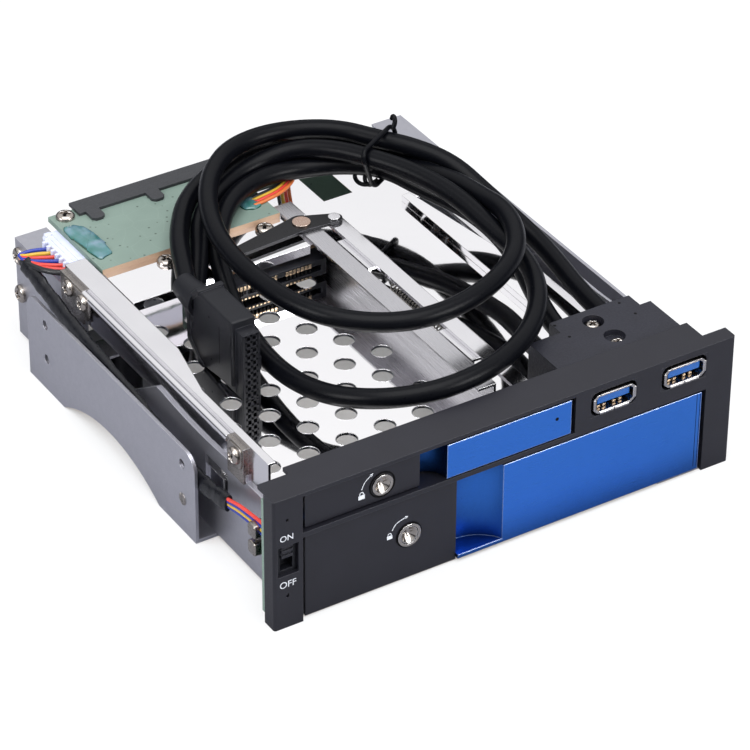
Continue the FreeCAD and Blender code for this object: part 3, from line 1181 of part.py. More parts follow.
def finish():
    DOC.recompute()
    for item in DOC.Objects:
        if "Invalid" in item.State or "Error" in item.State:
            raise ValueError(f"{item.Name}: {item.State}")
    os.makedirs("parts", exist_ok=True)
    for item in PIECES:
        if item.Shape.isNull() or not item.Shape.isValid():
            raise ValueError(f"{item.Label}: shape is not valid")
    for item in PIECES:
        item.Shape.exportStep(f"parts/{item.Label}.step")
    print(len(PIECES), "pieces written")


def main():
    make_bezel()
    make_hinges()
    for door in (UPPER, LOWER):
        make_door(door)
    make_lock(UPPER, UPPER.lock_z - SMALL_LOW + S.cam_catch)
    make_lock(LOWER, S.large_opening - LOWER.lock_z + S.cam_catch)
    make_switch()
    side_plate("left_side_plate", -1)
    side_plate("right_side_plate", 1)
    inner_wall("left_inner_wall", -1)
    inner_wall("right_inner_wall", 1)
    make_deck()
    bay_rail("left_bay_rail", -1, S.left_rail_end)
    bay_rail("right_bay_rail", 1, S.right_rail_end)
    make_bridge()
    make_boards()
    make_backplanes()
    make_ejectors()
    make_rollers()
    make_screws()
    make_usb()
    make_cables()
    finish()


main()
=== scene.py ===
"""Looks of the hot swap drive cage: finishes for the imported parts, and the soft and small pieces laid round them."""
import math
from functools import partial

import bmesh
import bpy
import numpy as np
from mathutils import Euler, Matrix, Vector


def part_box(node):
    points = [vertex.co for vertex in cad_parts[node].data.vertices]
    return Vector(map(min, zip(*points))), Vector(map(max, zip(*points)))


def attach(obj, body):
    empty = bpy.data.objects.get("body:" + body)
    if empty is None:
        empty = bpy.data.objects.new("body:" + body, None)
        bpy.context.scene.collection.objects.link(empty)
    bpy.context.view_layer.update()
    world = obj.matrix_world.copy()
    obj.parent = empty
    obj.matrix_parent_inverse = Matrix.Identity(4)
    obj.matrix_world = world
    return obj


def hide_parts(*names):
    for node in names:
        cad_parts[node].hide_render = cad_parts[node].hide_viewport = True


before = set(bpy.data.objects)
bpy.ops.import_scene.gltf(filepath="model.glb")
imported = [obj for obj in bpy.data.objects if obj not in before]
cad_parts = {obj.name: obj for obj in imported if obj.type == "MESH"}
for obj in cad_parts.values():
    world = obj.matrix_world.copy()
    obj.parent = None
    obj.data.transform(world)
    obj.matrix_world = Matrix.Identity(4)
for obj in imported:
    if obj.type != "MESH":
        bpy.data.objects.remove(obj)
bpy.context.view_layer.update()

MM = 0.001
TURN = 2 * math.pi
BEZEL_FACE = np.array((0.0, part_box("front_bezel")[0].y / MM, 0.0))


def to_row(points):
    """Millimetres, with depth from the bezel face, to metres in the row frame."""
    return (np.array(points, float) + BEZEL_FACE) * MM


def box_of(node):
    """Lowest and highest corner of a CAD node, in millimetres, with depth from the bezel face."""
    return [np.array(corner) / MM - BEZEL_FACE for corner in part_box(node)]


# Camera: placed for the three-quarter view from the front left and above
AZIMUTH, ELEVATION, ROLL = (math.radians(angle) for angle in (-32.16, 34.72, 0.38))
CAMERA_PLACE = (-479.4, -693.4, 639.6)
LENS_LENGTH = 184.66


def make_camera():
    """Turned by azimuth about the upright, tilted down by the elevation, then rolled about its own view axis."""
    data = bpy.data.cameras.new("view_camera")
    data.lens = LENS_LENGTH
    data.clip_start = 0.05
    data.clip_end = 20.0
    camera = bpy.data.objects.new("view_camera", data)
    bpy.context.collection.objects.link(camera)
    aim = Euler((math.pi / 2 - ELEVATION, 0.0, AZIMUTH)).to_matrix().to_4x4()
    camera.matrix_world = Matrix.Translation(to_row(CAMERA_PLACE)) @ aim @ Matrix.Rotation(ROLL, 4, "Z")
    bpy.context.scene.camera = camera


make_camera()


# ---- nodes and finishes ----

def linear(code):
    """An sRGB hex colour as a linear RGBA value: straight near black, and a power of 2.4 above."""
    parts = np.array([int(code[i:i + 2], 16) / 255 for i in (0, 2, 4)])
    return (*np.where(parts <= 0.04045, parts / 12.92, ((parts + 0.055) / 1.055) ** 2.4).tolist(), 1.0)


def put(tree, kind, settings=None, out=0, **inputs):
    """One node, handed back as the output socket that out names or numbers. Settings are its own properties, with
    stops for a ramp's (place, hex colour) pairs. Inputs are sockets by name or as i0, i1: a socket is linked and
    a text is a hex colour."""
    made = tree.nodes.new("ShaderNode" + kind)
    for name, value in (settings or {}).items():
        if name == "stops":
            elements = made.color_ramp.elements
            while len(elements) < len(value):
                elements.new(0.5)
            for element, (place, code) in zip(elements, value):
                element.position = place
                element.color = linear(code)
        else:
            setattr(made, name, value)
    for name, value in inputs.items():
        socket = made.inputs[int(name[1:]) if name[0] == "i" and name[1:].isdigit() else name.replace("_", " ")]
        if isinstance(value, bpy.types.NodeSocket):
            tree.links.new(value, socket)
        else:
            socket.default_value = linear(value) if isinstance(value, str) else value
    return made.outputs[out] if made.outputs else None


def new_tree(name):
    """An empty material, with put bound to its tree."""
    material = bpy.data.materials.new(name)
    material.use_nodes = True
    material.node_tree.nodes.clear()
    return material, partial(put, material.node_tree)


def per(size):
    """Texture scale, in cycles for each metre, of a feature of that many millimetres."""
    return 1000.0 / size


# what a mix of two colours is set to, with the number of its colour output
RGB = ({"data_type": "RGBA"}, 2)


def finish(name, colour, other, roughness, metallic=0.0, mottle=3.0, grain=0.3, height=0.01, stretch=(1, 1, 1),
           uneven=0.08, edge=None, edge_width=0.25, gloss=0.5, rubbed=0.75, hollow=None):
    """A finish whose two shades drift into each other, with a grain that stands up by height. Its edges are mixed
    towards a lighter edge colour: wear in part, and in part a painted highlight. Sizes are in millimetres; stretch
    lengthens the grain along an axis, as brushing or rolling does. The hollow is a painted shade: the
    darker colour given to deep pockets, where little of the room is mirrored."""
    material, node = new_tree(name)
    place = node("TexCoord", out="Object")
    drift = node("TexNoise", Vector=place, Scale=per(mottle), Detail=3.0)
    shade = node("Mix", *RGB, i0=drift, i6=colour, i7=other)
    spread = node("Mapping", Vector=place, Scale=tuple(1 / value for value in stretch))
    tooth = node("TexNoise", Vector=spread, Scale=per(grain), Detail=2.0)
    soft_edge = node("Bevel", {"samples": 4}, Radius=edge_width * MM)
    bumped = node("Bump", Strength=0.6, Distance=height * MM, Height=tooth, Normal=soft_edge)
    # painted highlight and wear: where the bevelled normal turns away from the true one, the colour is mixed towards
    # the edge colour
    if edge:
        flat = node("NewGeometry", out="Normal")
        bent = node("VectorMath", {"operation": "DOT_PRODUCT"}, "Value", i0=soft_edge, i1=flat)
        wear_and_highlight_mask = node("MapRange", Value=bent, From_Min=0.97, From_Max=0.80, To_Max=rubbed)
        shade = node("Mix", *RGB, i0=wear_and_highlight_mask, i6=shade, i7=edge)
    # painted shade: where ambient occlusion finds deep pockets, the colour is mixed towards the darker hollow
    if hollow:
        opened = node("AmbientOcclusion", {"samples": 8}, "AO", Distance=20 * MM)
        lit = node("MapRange", Value=opened, From_Min=0.35, From_Max=0.8)
        shade = node("Mix", *RGB, i0=lit, i6=hollow, i7=shade)
    rough = node("MapRange", Value=tooth, From_Min=0.3, From_Max=0.7, To_Min=max(0.0, roughness - uneven),
                 To_Max=roughness + uneven)
    shader = node("BsdfPrincipled", Base_Color=shade, Metallic=metallic, Roughness=rough, Normal=bumped,
                  Specular_IOR_Level=gloss)
    node("OutputMaterial", Surface=shader)
    return material


# ---- finishes, each named for what the real surface is and how it was made ----

FINISHES = {}


def add(key, *given, **named):
    """Keeps a finish under the short name that the pieces use."""
    FINISHES[key] = finish(*given, **named)


# the edge colour of each finish below is painted along its edges: a painted highlight, and wear as well where the
# surface wears
# moulded ABS, spark-eroded satin: a soft bluish sheen on nearly black plastic
add("satin_abs", "satin_moulded_abs", "18181f", "1e1e26", 0.42, grain=0.22, height=0.012, edge="3c3d46", mottle=9,
    gloss=0.34)
# the same plastic from a coarse-grained mould: its tooth breaks the sheen into specks
add("grained_abs", "grained_moulded_abs", "1b1b23", "22232d", 0.50, grain=0.6, height=0.13, edge="34353a", mottle=6,
    gloss=0.36)
# blue dye under clear anodising; drawn lines run along the extrusion and stretch the sheen.
# Its near-white edge colour is a painted highlight, and its dark blue for deep pockets a painted shade in the scoops
add("blue_anodised", "blue_anodised_aluminium", "3d7ddc", "4484e4", 0.36, 1.0, grain=0.12, height=0.005,
    stretch=(60, 1, 1), mottle=24, uneven=0.09, edge="d3e1fa", edge_width=0.45, rubbed=1.0, hollow="16335f")
# zinc-plated cold-rolled sheet, passivated matt grey with a faint spangle
add("zinc_sheet", "zinc_plated_sheet", "acacb5", "b8b8c0", 0.40, 0.9, grain=0.35, height=0.012, mottle=1.8,
    edge="e4e4ea", uneven=0.06)
# bright-rolled stainless, with faint lines along the length of the cage
add("bright_stainless", "bright_rolled_stainless", "e2e1e5", "eeedf0", 0.15, 1.0, grain=0.1, height=0.003,
    stretch=(1, 40, 1), mottle=14, uneven=0.05, edge="f8f8fa")
# the same sheet brushed along its length, which spreads what it reflects into streaks
add("brushed_stainless", "brushed_stainless", "bebdc2", "cfced2", 0.30, 1.0, grain=0.12, height=0.008,
    stretch=(1, 60, 1), mottle=14, edge="f4f4f6")
# pressed port sheet, tin-plated and slightly grey
add("port_tin", "tin_plated_port_sheet", "a5a2a2", "b9b6b6", 0.24, 1.0, grain=0.2, height=0.004, mottle=2,
    edge="e8e6e6")
# mirror-plated deck, a little wavy as thin sheet is, so reflections bend
add("mirror_sheet", "mirror_plated_sheet", "f9f8fa", "fcfbfd", 0.04, 1.0, grain=9.0, height=0.03, mottle=30,
    uneven=0.02, edge="f8f8f8")
# black oxide on the levers: oily and nearly black, its edges painted lighter, as bare steel showing through and as a
# painted highlight
add("black_oxide", "black_oxide_steel", "121214", "1b1b1f", 0.34, 0.5, height=0.008, mottle=4, edge="66666e")
# burnished clip steel, darker than the plated sheet round it
add("clip_steel", "burnished_clip_steel", "87827e", "a09b97", 0.30, 1.0, grain=0.4, mottle=2.5, edge="c8c8cc")
# nickel-plated screw steel, with the warm cast of bright nickel
add("nickel", "nickel_plated_steel", "9d9690", "b4ada7", 0.22, 1.0, height=0.006, mottle=2, edge="ffffff")
# turned rivet heads, coppery from the passivation bath
add("rivet", "passivated_rivet_steel", "b79a8a", "cdb6a8", 0.24, 1.0, grain=0.08, height=0.004, edge="e9dcd2")
# glass-filled nylon of sockets and plugs, slightly chalky where the fibres surface
add("socket_nylon", "moulded_black_nylon", "101116", "15161c", 0.46, grain=0.25, height=0.02, mottle=5,
    edge="30313a", gloss=0.26)
# dark pits and gaps that only show as shadow
add("shadow_gap", "unlit_recess", "040405", "060607", 0.7, mottle=4, gloss=0.15)
# unfilled nylon connector: bluish white and a little waxy
add("white_nylon", "moulded_white_nylon", "c3c8e6", "dadff2", 0.40, grain=0.5, mottle=4, edge="f6f7ff")
# fibre insulator film, satin with a papery tooth
add("fibre_film", "fibre_insulator_film", "2c2d30", "3b3c40", 0.52, grain=0.35, height=0.06, mottle=0.9,
    edge="4c4d52", gloss=0.4)
# blue plastic of the socket tongues, the colour code of fast ports
add("tongue_blue", "moulded_blue_pbt", "104f98", "165aa6", 0.38, mottle=4, edge="3f86d0")
# PVC jacket of the cables: soft black with a narrow sheen and extrusion marks
add("cable_jacket", "satin_pvc_jacket", "06070b", "090a0f", 0.32, grain=0.6, height=0.02, mottle=12, uneven=0.05,
    gloss=0.1)
# heat-shrunk sleeve, rippled where it shrank on the wires
add("shrink_sleeve", "heat_shrunk_sleeve", "101116", "16171c", 0.30, grain=2.2, height=0.16, mottle=8, gloss=0.36)
# drawn spring wire, dark with oil
add("spring_wire", "drawn_spring_wire", "5b5854", "77736e", 0.25, 1.0, grain=0.1, height=0.003, mottle=2)
# gold-flashed contact strips
add("gold_contact", "gold_flashed_contact", "b39a7c", "c8b397", 0.30, 1.0, grain=0.1, height=0.003, mottle=1.5)
# pad-printed ink, with pinholes of the plastic showing through
add("white_ink", "pad_printed_ink", "c8ccd4", "e2e5ea", 0.55, grain=0.2, height=0.004, mottle=0.5)
# machined chrome of the locks: fine tool marks
add("lock_chrome", "machined_lock_chrome", "9c9690", "b8b2ac", 0.18, 1.0, grain=0.12, mottle=1.2, edge="ffffff")
# lens of the indicator
add("blue_lens", "moulded_blue_lens", "2a6fd6", "3f86ea", 0.2, grain=0.4, mottle=1)
# PVC insulation of the wires, smooth from the die
DYES = {"blue": ("1f2f8c", "2a3da2"), "yellow": ("c29a26", "d4ae40"), "red": ("c8352f", "d94b3f"),
        "black": ("121316", "1b1c20"), "orange": ("c2602c", "d5743a")}
for dye, shades in DYES.items():
    add("wire_" + dye, "pvc_insulation_" + dye, *shades, 0.34, grain=0.4, mottle=2)


def board_finish(name, mask, mask_other, track, edge_colour, face="Z"):
    """Solder mask over copper: tracks show as faint paler lines, vias as small dark dots. The cut edge shows the
    laminate, and on the sides of the board the mask has run over it."""
    material, node = new_tree(name)
    place = node("TexCoord", out="Object")
    drift = node("TexNoise", Vector=place, Scale=per(8.0), Detail=2.0)
    base = node("Mix", *RGB, i0=drift, i6=mask, i7=mask_other)
    bent = node("TexNoise", out="Color", Vector=place, Scale=per(24.0))
    wander = node("Mix", {"data_type": "VECTOR"}, 1, i0=0.012, i4=place, i5=bent)
    cells = node("TexVoronoi", {"feature": "DISTANCE_TO_EDGE"}, Vector=wander, Scale=per(7.5), Randomness=0.55)
    tracks = node("MapRange", Value=cells, From_Min=0.022, From_Max=0.010, To_Max=0.13)
    base = node("Mix", *RGB, i0=tracks, i6=base, i7=track)
    dots = node("TexVoronoi", Vector=place, Scale=per(2.9), Randomness=0.75)
    via = node("MapRange", Value=dots, From_Min=0.14, From_Max=0.09, To_Max=0.75)
    base = node("Mix", *RGB, i0=via, i6=base, i7="27362e")
    normal = node("NewGeometry", out="Normal")
    flat, ends = (node("Math", {"operation": "ABSOLUTE"}, i0=node("SeparateXYZ", out=way, Vector=normal))
                  for way in (face, "X"))
    side = node("MapRange", Value=flat, From_Min=0.6, From_Max=0.4)
    base = node("Mix", *RGB, i0=side, i6=base, i7=edge_colour)
    base = node("Mix", *RGB, i0=ends, i6=base, i7="6f8379")
    soft_edge = node("Bevel", {"samples": 4}, Radius=0.15 * MM)
    relief = node("Bump", Strength=0.5, Distance=0.03 * MM, Height=tracks, Normal=soft_edge)
    shader = node("BsdfPrincipled", Base_Color=base, Roughness=0.42, Normal=relief, Specular_IOR_Level=0.4)
    node("OutputMaterial", Surface=shader)
    return material


def resin_finish():
    """Cast resin drop: cloudy blue-grey where it is thick, the green of the board at its thin rim."""
    material, node = new_tree("cast_resin_drop")
    place = node("TexCoord", out="Object")
    cloud = node("TexNoise", Vector=place, Scale=per(4.5), Detail=1.0)
    facing = node("SeparateXYZ", out="Z", Vector=node("NewGeometry", out="Normal"))
    rim = node("MapRange", Value=facing, From_Min=0.80, From_Max=0.35)
    body = node("ValToRGB", {"stops": [(0.3, "2f6b62"), (0.52, "47797c"), (0.76, "6f8c9c")]}, Fac=cloud)
    shade = node("Mix", *RGB, i0=rim, i6=body, i7="124a3a")
    relief = node("Bump", Strength=0.5, Distance=0.1 * MM, Height=cloud)
    shader = node("BsdfPrincipled", Base_Color=shade, Roughness=0.14, Normal=relief, Subsurface_Weight=0.25,
                  Subsurface_Radius=(0.4, 0.9, 1.0), Subsurface_Scale=0.0015, Coat_Weight=0.5, Coat_Roughness=0.05)
    node("OutputMaterial", Surface=shader)
    return material


FINISHES["green_board"] = board_finish("green_solder_mask", "74867d", "7d9087", "93a59b", "b99a80")
# a darker copy of the flat board's green mask and laminate edge, for the upright boards: painted shade
FINISHES["shaded_upright_board"] = board_finish("green_solder_mask_shaded_upright", "4d6257", "566b60", "6d8277", "a98c70", "Y")
FINISHES["dark_board"] = board_finish("dark_solder_mask", "0f3526", "123c2c", "1d4836", "7d9187", "Y")
FINISHES["resin"] = resin_finish()

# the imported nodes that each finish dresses, by how their names end
NODE_FINISH = {
    "satin_abs": "front_bezel lock_plate hinge_block switch_slider roller",
    "grained_abs": "usb_housing",
    "blue_anodised": "pull",
    "zinc_sheet": "side_plate inner_wall backplane_brackets",
    "mirror_sheet": "middle_deck rear_bridge_plate",
    "brushed_stainless": "right_bay_rail",
    "bright_stainless": "left_bay_rail hinge_plate hinge_pins push_bar bar_guides roller_brackets roller_pins",
    "black_oxide": "eject_lever",
    "clip_steel": "rail_clips",
    "nickel": "pan_screws usb_shells lock_cam",
    "lock_chrome": "lock_barrel lock_plug",
    "rivet": "pivot_rivets",
    "socket_nylon": "switch_body drive_socket rear_sockets header_plug cable_tie",
    "green_board": "upper_backplane_board",
    "shaded_upright_board": "upper_socket_board lower_backplane_board",
    "dark_board": "switch_board",
    "white_nylon": "switch_header",
    "fibre_film": "insulator_strip",
    "resin": "resin_beads",
    "tongue_blue": "usb_tongues",
    "spring_wire": "return_spring",
    "cable_jacket": "usb_cable_coil usb_leads",
    "shrink_sleeve": "harness_sleeve",
    "wire_red": "internal_wires",
}
for finish_name, endings in NODE_FINISH.items():
    for name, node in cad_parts.items():
        if name.endswith(tuple(endings.split())):
            node.data.materials.clear()
            node.data.materials.append(FINISHES[finish_name])


# ---- surfaces from arrays ----

def grid_faces(rows, columns):
    """Quads between neighbouring rows and columns of a grid of points, its last column joined to the first."""
    row, column = np.meshgrid(np.arange(rows - 1), np.arange(columns), indexing="ij")
    following = (column + 1) % columns
    return np.stack([row * columns + column, row * columns + following,
                     (row + 1) * columns + following, (row + 1) * columns + column], -1).reshape(-1, 4)


SHARP = math.radians(40.0)


def outward(mesh):
    """Turns every closed shell so that its faces point outwards, and splits the shading at sharp edges."""
    work = bmesh.new()
    work.from_mesh(mesh)
    bmesh.ops.remove_doubles(work, verts=work.verts, dist=1e-7)
    bmesh.ops.dissolve_degenerate(work, edges=work.edges, dist=1e-8)
    bmesh.ops.recalc_face_normals(work, faces=work.faces)
    for edge in work.edges:
        edge.smooth = len(edge.link_faces) == 2 and edge.calc_face_angle(0.0) < SHARP
    work.to_mesh(mesh)
    work.free()


def settle(made, finish_name, stands_for=(), body="cage"):
    """Links a finished object, gives it its finish and says what it rides on and stands for."""
    made.data.materials.append(FINISHES[finish_name])
    bpy.context.collection.objects.link(made)
    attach(made, body)
    if stands_for:
        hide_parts(*stands_for)
    return made


def piece(name, shells, finish_name, stands_for=(), body="cage"):
    """One mesh of several shells. A shell is a grid of points (rows, columns, 3) in millimetres, closed round its
    columns, and says whether its first and last row are capped."""
    points, faces, start = [], [], 0
    for shell, capped in shells:
        rows, columns = shell.shape[:2]
        points.append(shell.reshape(-1, 3))
        faces += (grid_faces(rows, columns) + start).tolist()
        if capped:
            faces.append((np.arange(columns)[::-1] + start).tolist())
            faces.append((np.arange(columns) + start + (rows - 1) * columns).tolist())
        start += rows * columns
    mesh = bpy.data.meshes.new(name)
    mesh.from_pydata(to_row(np.concatenate(points)).tolist(), [], faces)
    mesh.validate()
    mesh.shade_smooth()
    outward(mesh)
    return settle(bpy.data.objects.new(name, mesh), finish_name, stands_for, body)


def unit(vectors):
    """Each row of vectors, made one long."""
    return vectors / np.linalg.norm(vectors, axis=1)[:, None]


def spun(angle):
    """Two unit vectors at right angles, the first of them turned by an angle."""
    return np.array([(math.cos(angle), math.sin(angle)), (-math.sin(angle), math.cos(angle))])


def rounded(corners, radius, steps):
    """A closed outline with arcs for corners: each arc is a rational quadratic between the two points where it
    touches the sides."""
    corners = np.array(corners, float)
    before, after = unit(np.roll(corners, 1, 0) - corners), unit(np.roll(corners, -1, 0) - corners)
    half = np.arccos(np.clip((before * after).sum(1), -1, 1)) / 2
    reach = np.broadcast_to(np.array(radius, float), half.shape) / np.tan(half)
    share = np.linspace(0, 1, steps)[None, :, None]
    first = (corners + before * reach[:, None])[:, None]
    last = (corners + after * reach[:, None])[:, None]
    weight = np.sin(half)[:, None, None]
    top = (1 - share) ** 2 * first + 2 * weight * share * (1 - share) * corners[:, None] + share ** 2 * last
    bottom = (1 - share) ** 2 + 2 * weight * share * (1 - share) + share ** 2
    return (top / bottom).reshape(-1, 2)


def rectangle(left, right, low, high):
    """Its four corners, anticlockwise."""
    return [(left, low), (right, low), (right, high), (left, high)]


def inset(outline, amount):
    """The outline moved inwards along its normals; it runs anticlockwise."""
    along = unit(np.roll(outline, -1, 0) - np.roll(outline, 1, 0))
    return outline + np.stack([-along[:, 1], along[:, 0]], 1) * amount


AXES = {"x": (1, 2, 0), "y": (0, 2, 1), "z": (0, 1, 2)}


def laid(axis, first, second, along):
    """Points from their two coordinates across an axis and the one along it."""
    shell = np.zeros((*np.broadcast(first, second, along).shape, 3))
    for place, values in zip(AXES[axis], (first, second, along)):
        shell[..., place] = values
    return shell


def slab(outline, low, high, edge, axis):
    """Rings of an outline from low to high along an axis, both rims drawn in along a quarter turn."""
    quarter = np.linspace(0, math.pi / 2, 4)
    draw = edge * (1 - np.sin(quarter))
    rise = edge * (1 - np.cos(quarter))
    levels = np.concatenate([low + rise, high - rise[::-1]])
    rings = np.array([inset(np.array(outline, float), amount) for amount in (*draw, *draw[::-1])])
    return laid(axis, rings[..., 0], rings[..., 1], levels[:, None]), True


def bar(across, over, along, corner=0.3, edge=0.2, axis="z", steps=3):
    """A slab between two ends along an axis, over a rectangle given by its two spans, with rounded corners."""
    return slab(rounded(rectangle(*across, *over), corner, steps), *along, edge, axis)


def ring_slab(outer, inner, low, high, edge, axis="z"):
    """A plate between two outlines of as many points: up the outside, across, down the inside and back."""
    rings = np.array([outer, outer, inset(outer, edge), inset(inner, -edge), inner, inner, outer])
    levels = np.array([low, high - edge, high, high, high - edge, low, low])
    return laid(axis, rings[..., 0], rings[..., 1], levels[:, None]), False


def turned(profile, centre, axis, count, capped=True):
    """A profile of (radius, height) pairs carried round an axis through centre."""
    radius, height = np.array(profile, float).T[..., None]
    angle = np.linspace(0, TURN, count, endpoint=False)
    first, second, third = (centre[place] for place in AXES[axis])
    return laid(axis, radius * np.cos(angle) + first, radius * np.sin(angle) + second, height + third), capped


def frames_along(path):
    """Two unit vectors across a path at each of its points, from a fixed direction that no path here follows."""
    along = unit(np.gradient(path, axis=0))
    across = unit(np.cross(along, (0.31, 0.17, 0.93)))
    return across, np.cross(across, along)


def swept(path, radius, count, tall=1.0):
    """A round section carried along a path; tall stretches it upwards into an ellipse."""
    path = np.array(path, float)
    across, upward = frames_along(path)
    angle = np.linspace(0, TURN, count, endpoint=False)
    radius = np.broadcast_to(np.array(radius, float), (len(path),))[:, None, None]
    shell = path[:, None] + radius * (across[:, None] * np.cos(angle)[None, :, None]
                                      + upward[:, None] * np.sin(angle)[None, :, None] * tall)
    return shell, True


def smooth_path(points, count):
    """Points of a clamped quadratic B-spline, evenly spaced in its parameter: each span runs from one midpoint of
    the control polygon to the next, with the corner between as its middle control point."""
    control = np.array(points, float)
    spans = len(control) - 2
    place = np.linspace(0, spans - 1e-9, count)
    span = place.astype(int)
    share = (place - span)[:, None]
    a, b, c = control[span], control[span + 1], control[span + 2]
    first = np.where((span == 0)[:, None], a, (a + b) / 2)
    last = np.where((span == spans - 1)[:, None], c, (b + c) / 2)
    return (1 - share) ** 2 * first + 2 * share * (1 - share) * b + share ** 2 * last


# ---- cords ----

def cord_curve(name, route, diameter, finish_name, slot, *stands_for):
    """A NURBS curve of order 3 along its route, with a round section."""
    data = bpy.data.curves.new(name, "CURVE")
    data.dimensions = "3D"
    spline = data.splines.new("NURBS")
    spline.points.add(len(route) - 1)
    spline.points.foreach_set("co", np.c_[to_row(route), np.ones(len(route))].ravel())
    spline.order_u = 3
    spline.use_endpoint_u = True
    spline.resolution_u = 6
    data.bevel_depth = diameter * MM / 2
    data.bevel_resolution = 4
    data.use_fill_caps = True
    return settle(bpy.data.objects.new(name, data), finish_name, stands_for)


CABLE = 5.8
FIRST_CABLE = [
    (56.6, 34.5, 34.4), (56.8, 40.5, 34.3), (57.6, 52.5, 34.8), (59.2, 64.4, 35.7), (59.7, 76.3, 37.4),
    (58.0, 88.0, 40.1), (55.8, 99.3, 43.2), (52.5, 110.2, 47.7), (44.7, 118.7, 51.3), (37.4, 128.2, 51.7),
    (30.5, 138.2, 52.1), (19.8, 144.1, 52.5), (7.8, 146.2, 53.0), (-4.2, 143.9, 53.0), (-13.8, 136.4, 53.0),
    (-21.1, 126.8, 53.0), (-26.5, 116.1, 53.0), (-30.3, 104.6, 52.9), (-31.9, 92.7, 52.7), (-31.6, 80.6, 52.3),
    (-29.8, 68.7, 52.0), (-25.8, 57.3, 52.0), (-18.1, 47.9, 52.0), (-7.6, 41.6, 52.0), (4.4, 39.9, 52.2),
    (16.3, 41.8, 52.7), (27.5, 46.4, 53.2), (37.1, 53.8, 53.5), (43.5, 64.1, 53.4), (47.1, 75.7, 52.6),
    (47.5, 87.5, 50.2), (47.1, 99.5, 48.9), (45.7, 110.9, 46.1), (42.8, 122.1, 45.1), (37.6, 133.1, 45.7),
    (29.9, 142.5, 45.7), (19.9, 149.3, 46.1), (7.6, 150.7, 46.2), (-3.9, 147.3, 46.2), (-14.6, 141.6, 46.4),
    (-24.1, 134.2, 46.7), (-31.4, 124.6, 47.1), (-37.6, 114.3, 47.5), (-42.3, 103.3, 47.5), (-47.0, 92.0, 47.2),
    (-46.9, 86.0, 47.0)]
SECOND_CABLE = [
    (41.0, 34.5, 34.4), (41.1, 40.5, 34.7), (42.9, 52.1, 37.4), (45.9, 63.6, 39.6), (47.9, 75.3, 41.2),
    (47.3, 87.2, 42.9), (44.8, 99.0, 43.3), (40.2, 110.0, 44.2), (36.2, 121.2, 45.5), (27.3, 129.8, 45.4),
    (16.5, 135.0, 44.7), (4.4, 136.1, 45.7), (-7.2, 132.8, 45.7), (-16.7, 125.2, 45.7), (-24.0, 115.9, 43.8),
    (-29.5, 105.3, 42.3), (-32.0, 94.8, 36.9), (-34.4, 82.9, 35.7), (-36.2, 71.1, 35.5), (-37.2, 59.1, 36.4),
    (-36.5, 47.2, 37.9), (-33.3, 35.7, 40.1), (-26.4, 26.0, 42.4), (-16.4, 19.3, 44.3), (-4.4, 17.3, 45.3),
    (7.5, 19.1, 45.7), (18.6, 23.8, 46.0), (28.2, 31.1, 46.1), (35.9, 40.4, 46.3), (41.2, 51.3, 46.6),
    (43.2, 63.2, 47.1), (42.1, 75.1, 48.6), (41.2, 86.9, 50.5), (38.9, 98.7, 51.5), (35.0, 110.1, 51.9),
    (29.6, 120.8, 51.7), (23.3, 131.1, 51.2), (14.7, 139.4, 49.6), (2.8, 141.9, 46.6), (-8.7, 138.6, 45.3),
    (-18.5, 131.5, 45.4), (-26.3, 122.5, 45.4), (-32.3, 112.2, 43.3), (-38.8, 102.3, 42.5), (-45.6, 92.0, 41.0),
    (-44.9, 86.0, 40.4)]

first_cable = cord_curve("usb_cable_right", FIRST_CABLE, CABLE, "cable_jacket", "cable_black", "usb_leads",
                         "usb_cable_coil")
second_cable = cord_curve("usb_cable_left", SECOND_CABLE, CABLE, "cable_jacket", "cable_black", "usb_leads")

WIRE_PITCH = 2.5
FIRST_WIRE = box_of("switch_header")[1][1] - 3.8
HEADER_WIRE, BLACK_WIRE, SWITCH_WIRE, POWER_WIRE = 1.15, 1.7, 1.05, 1.1


def wire(name, number, colour, gauge, route):
    """One insulated wire of the loom, as thick as its gauge."""
    cord_curve(f"{name}_wire_{number + 1}", route, gauge, "wire_" + colour, "wire_set", "internal_wires")


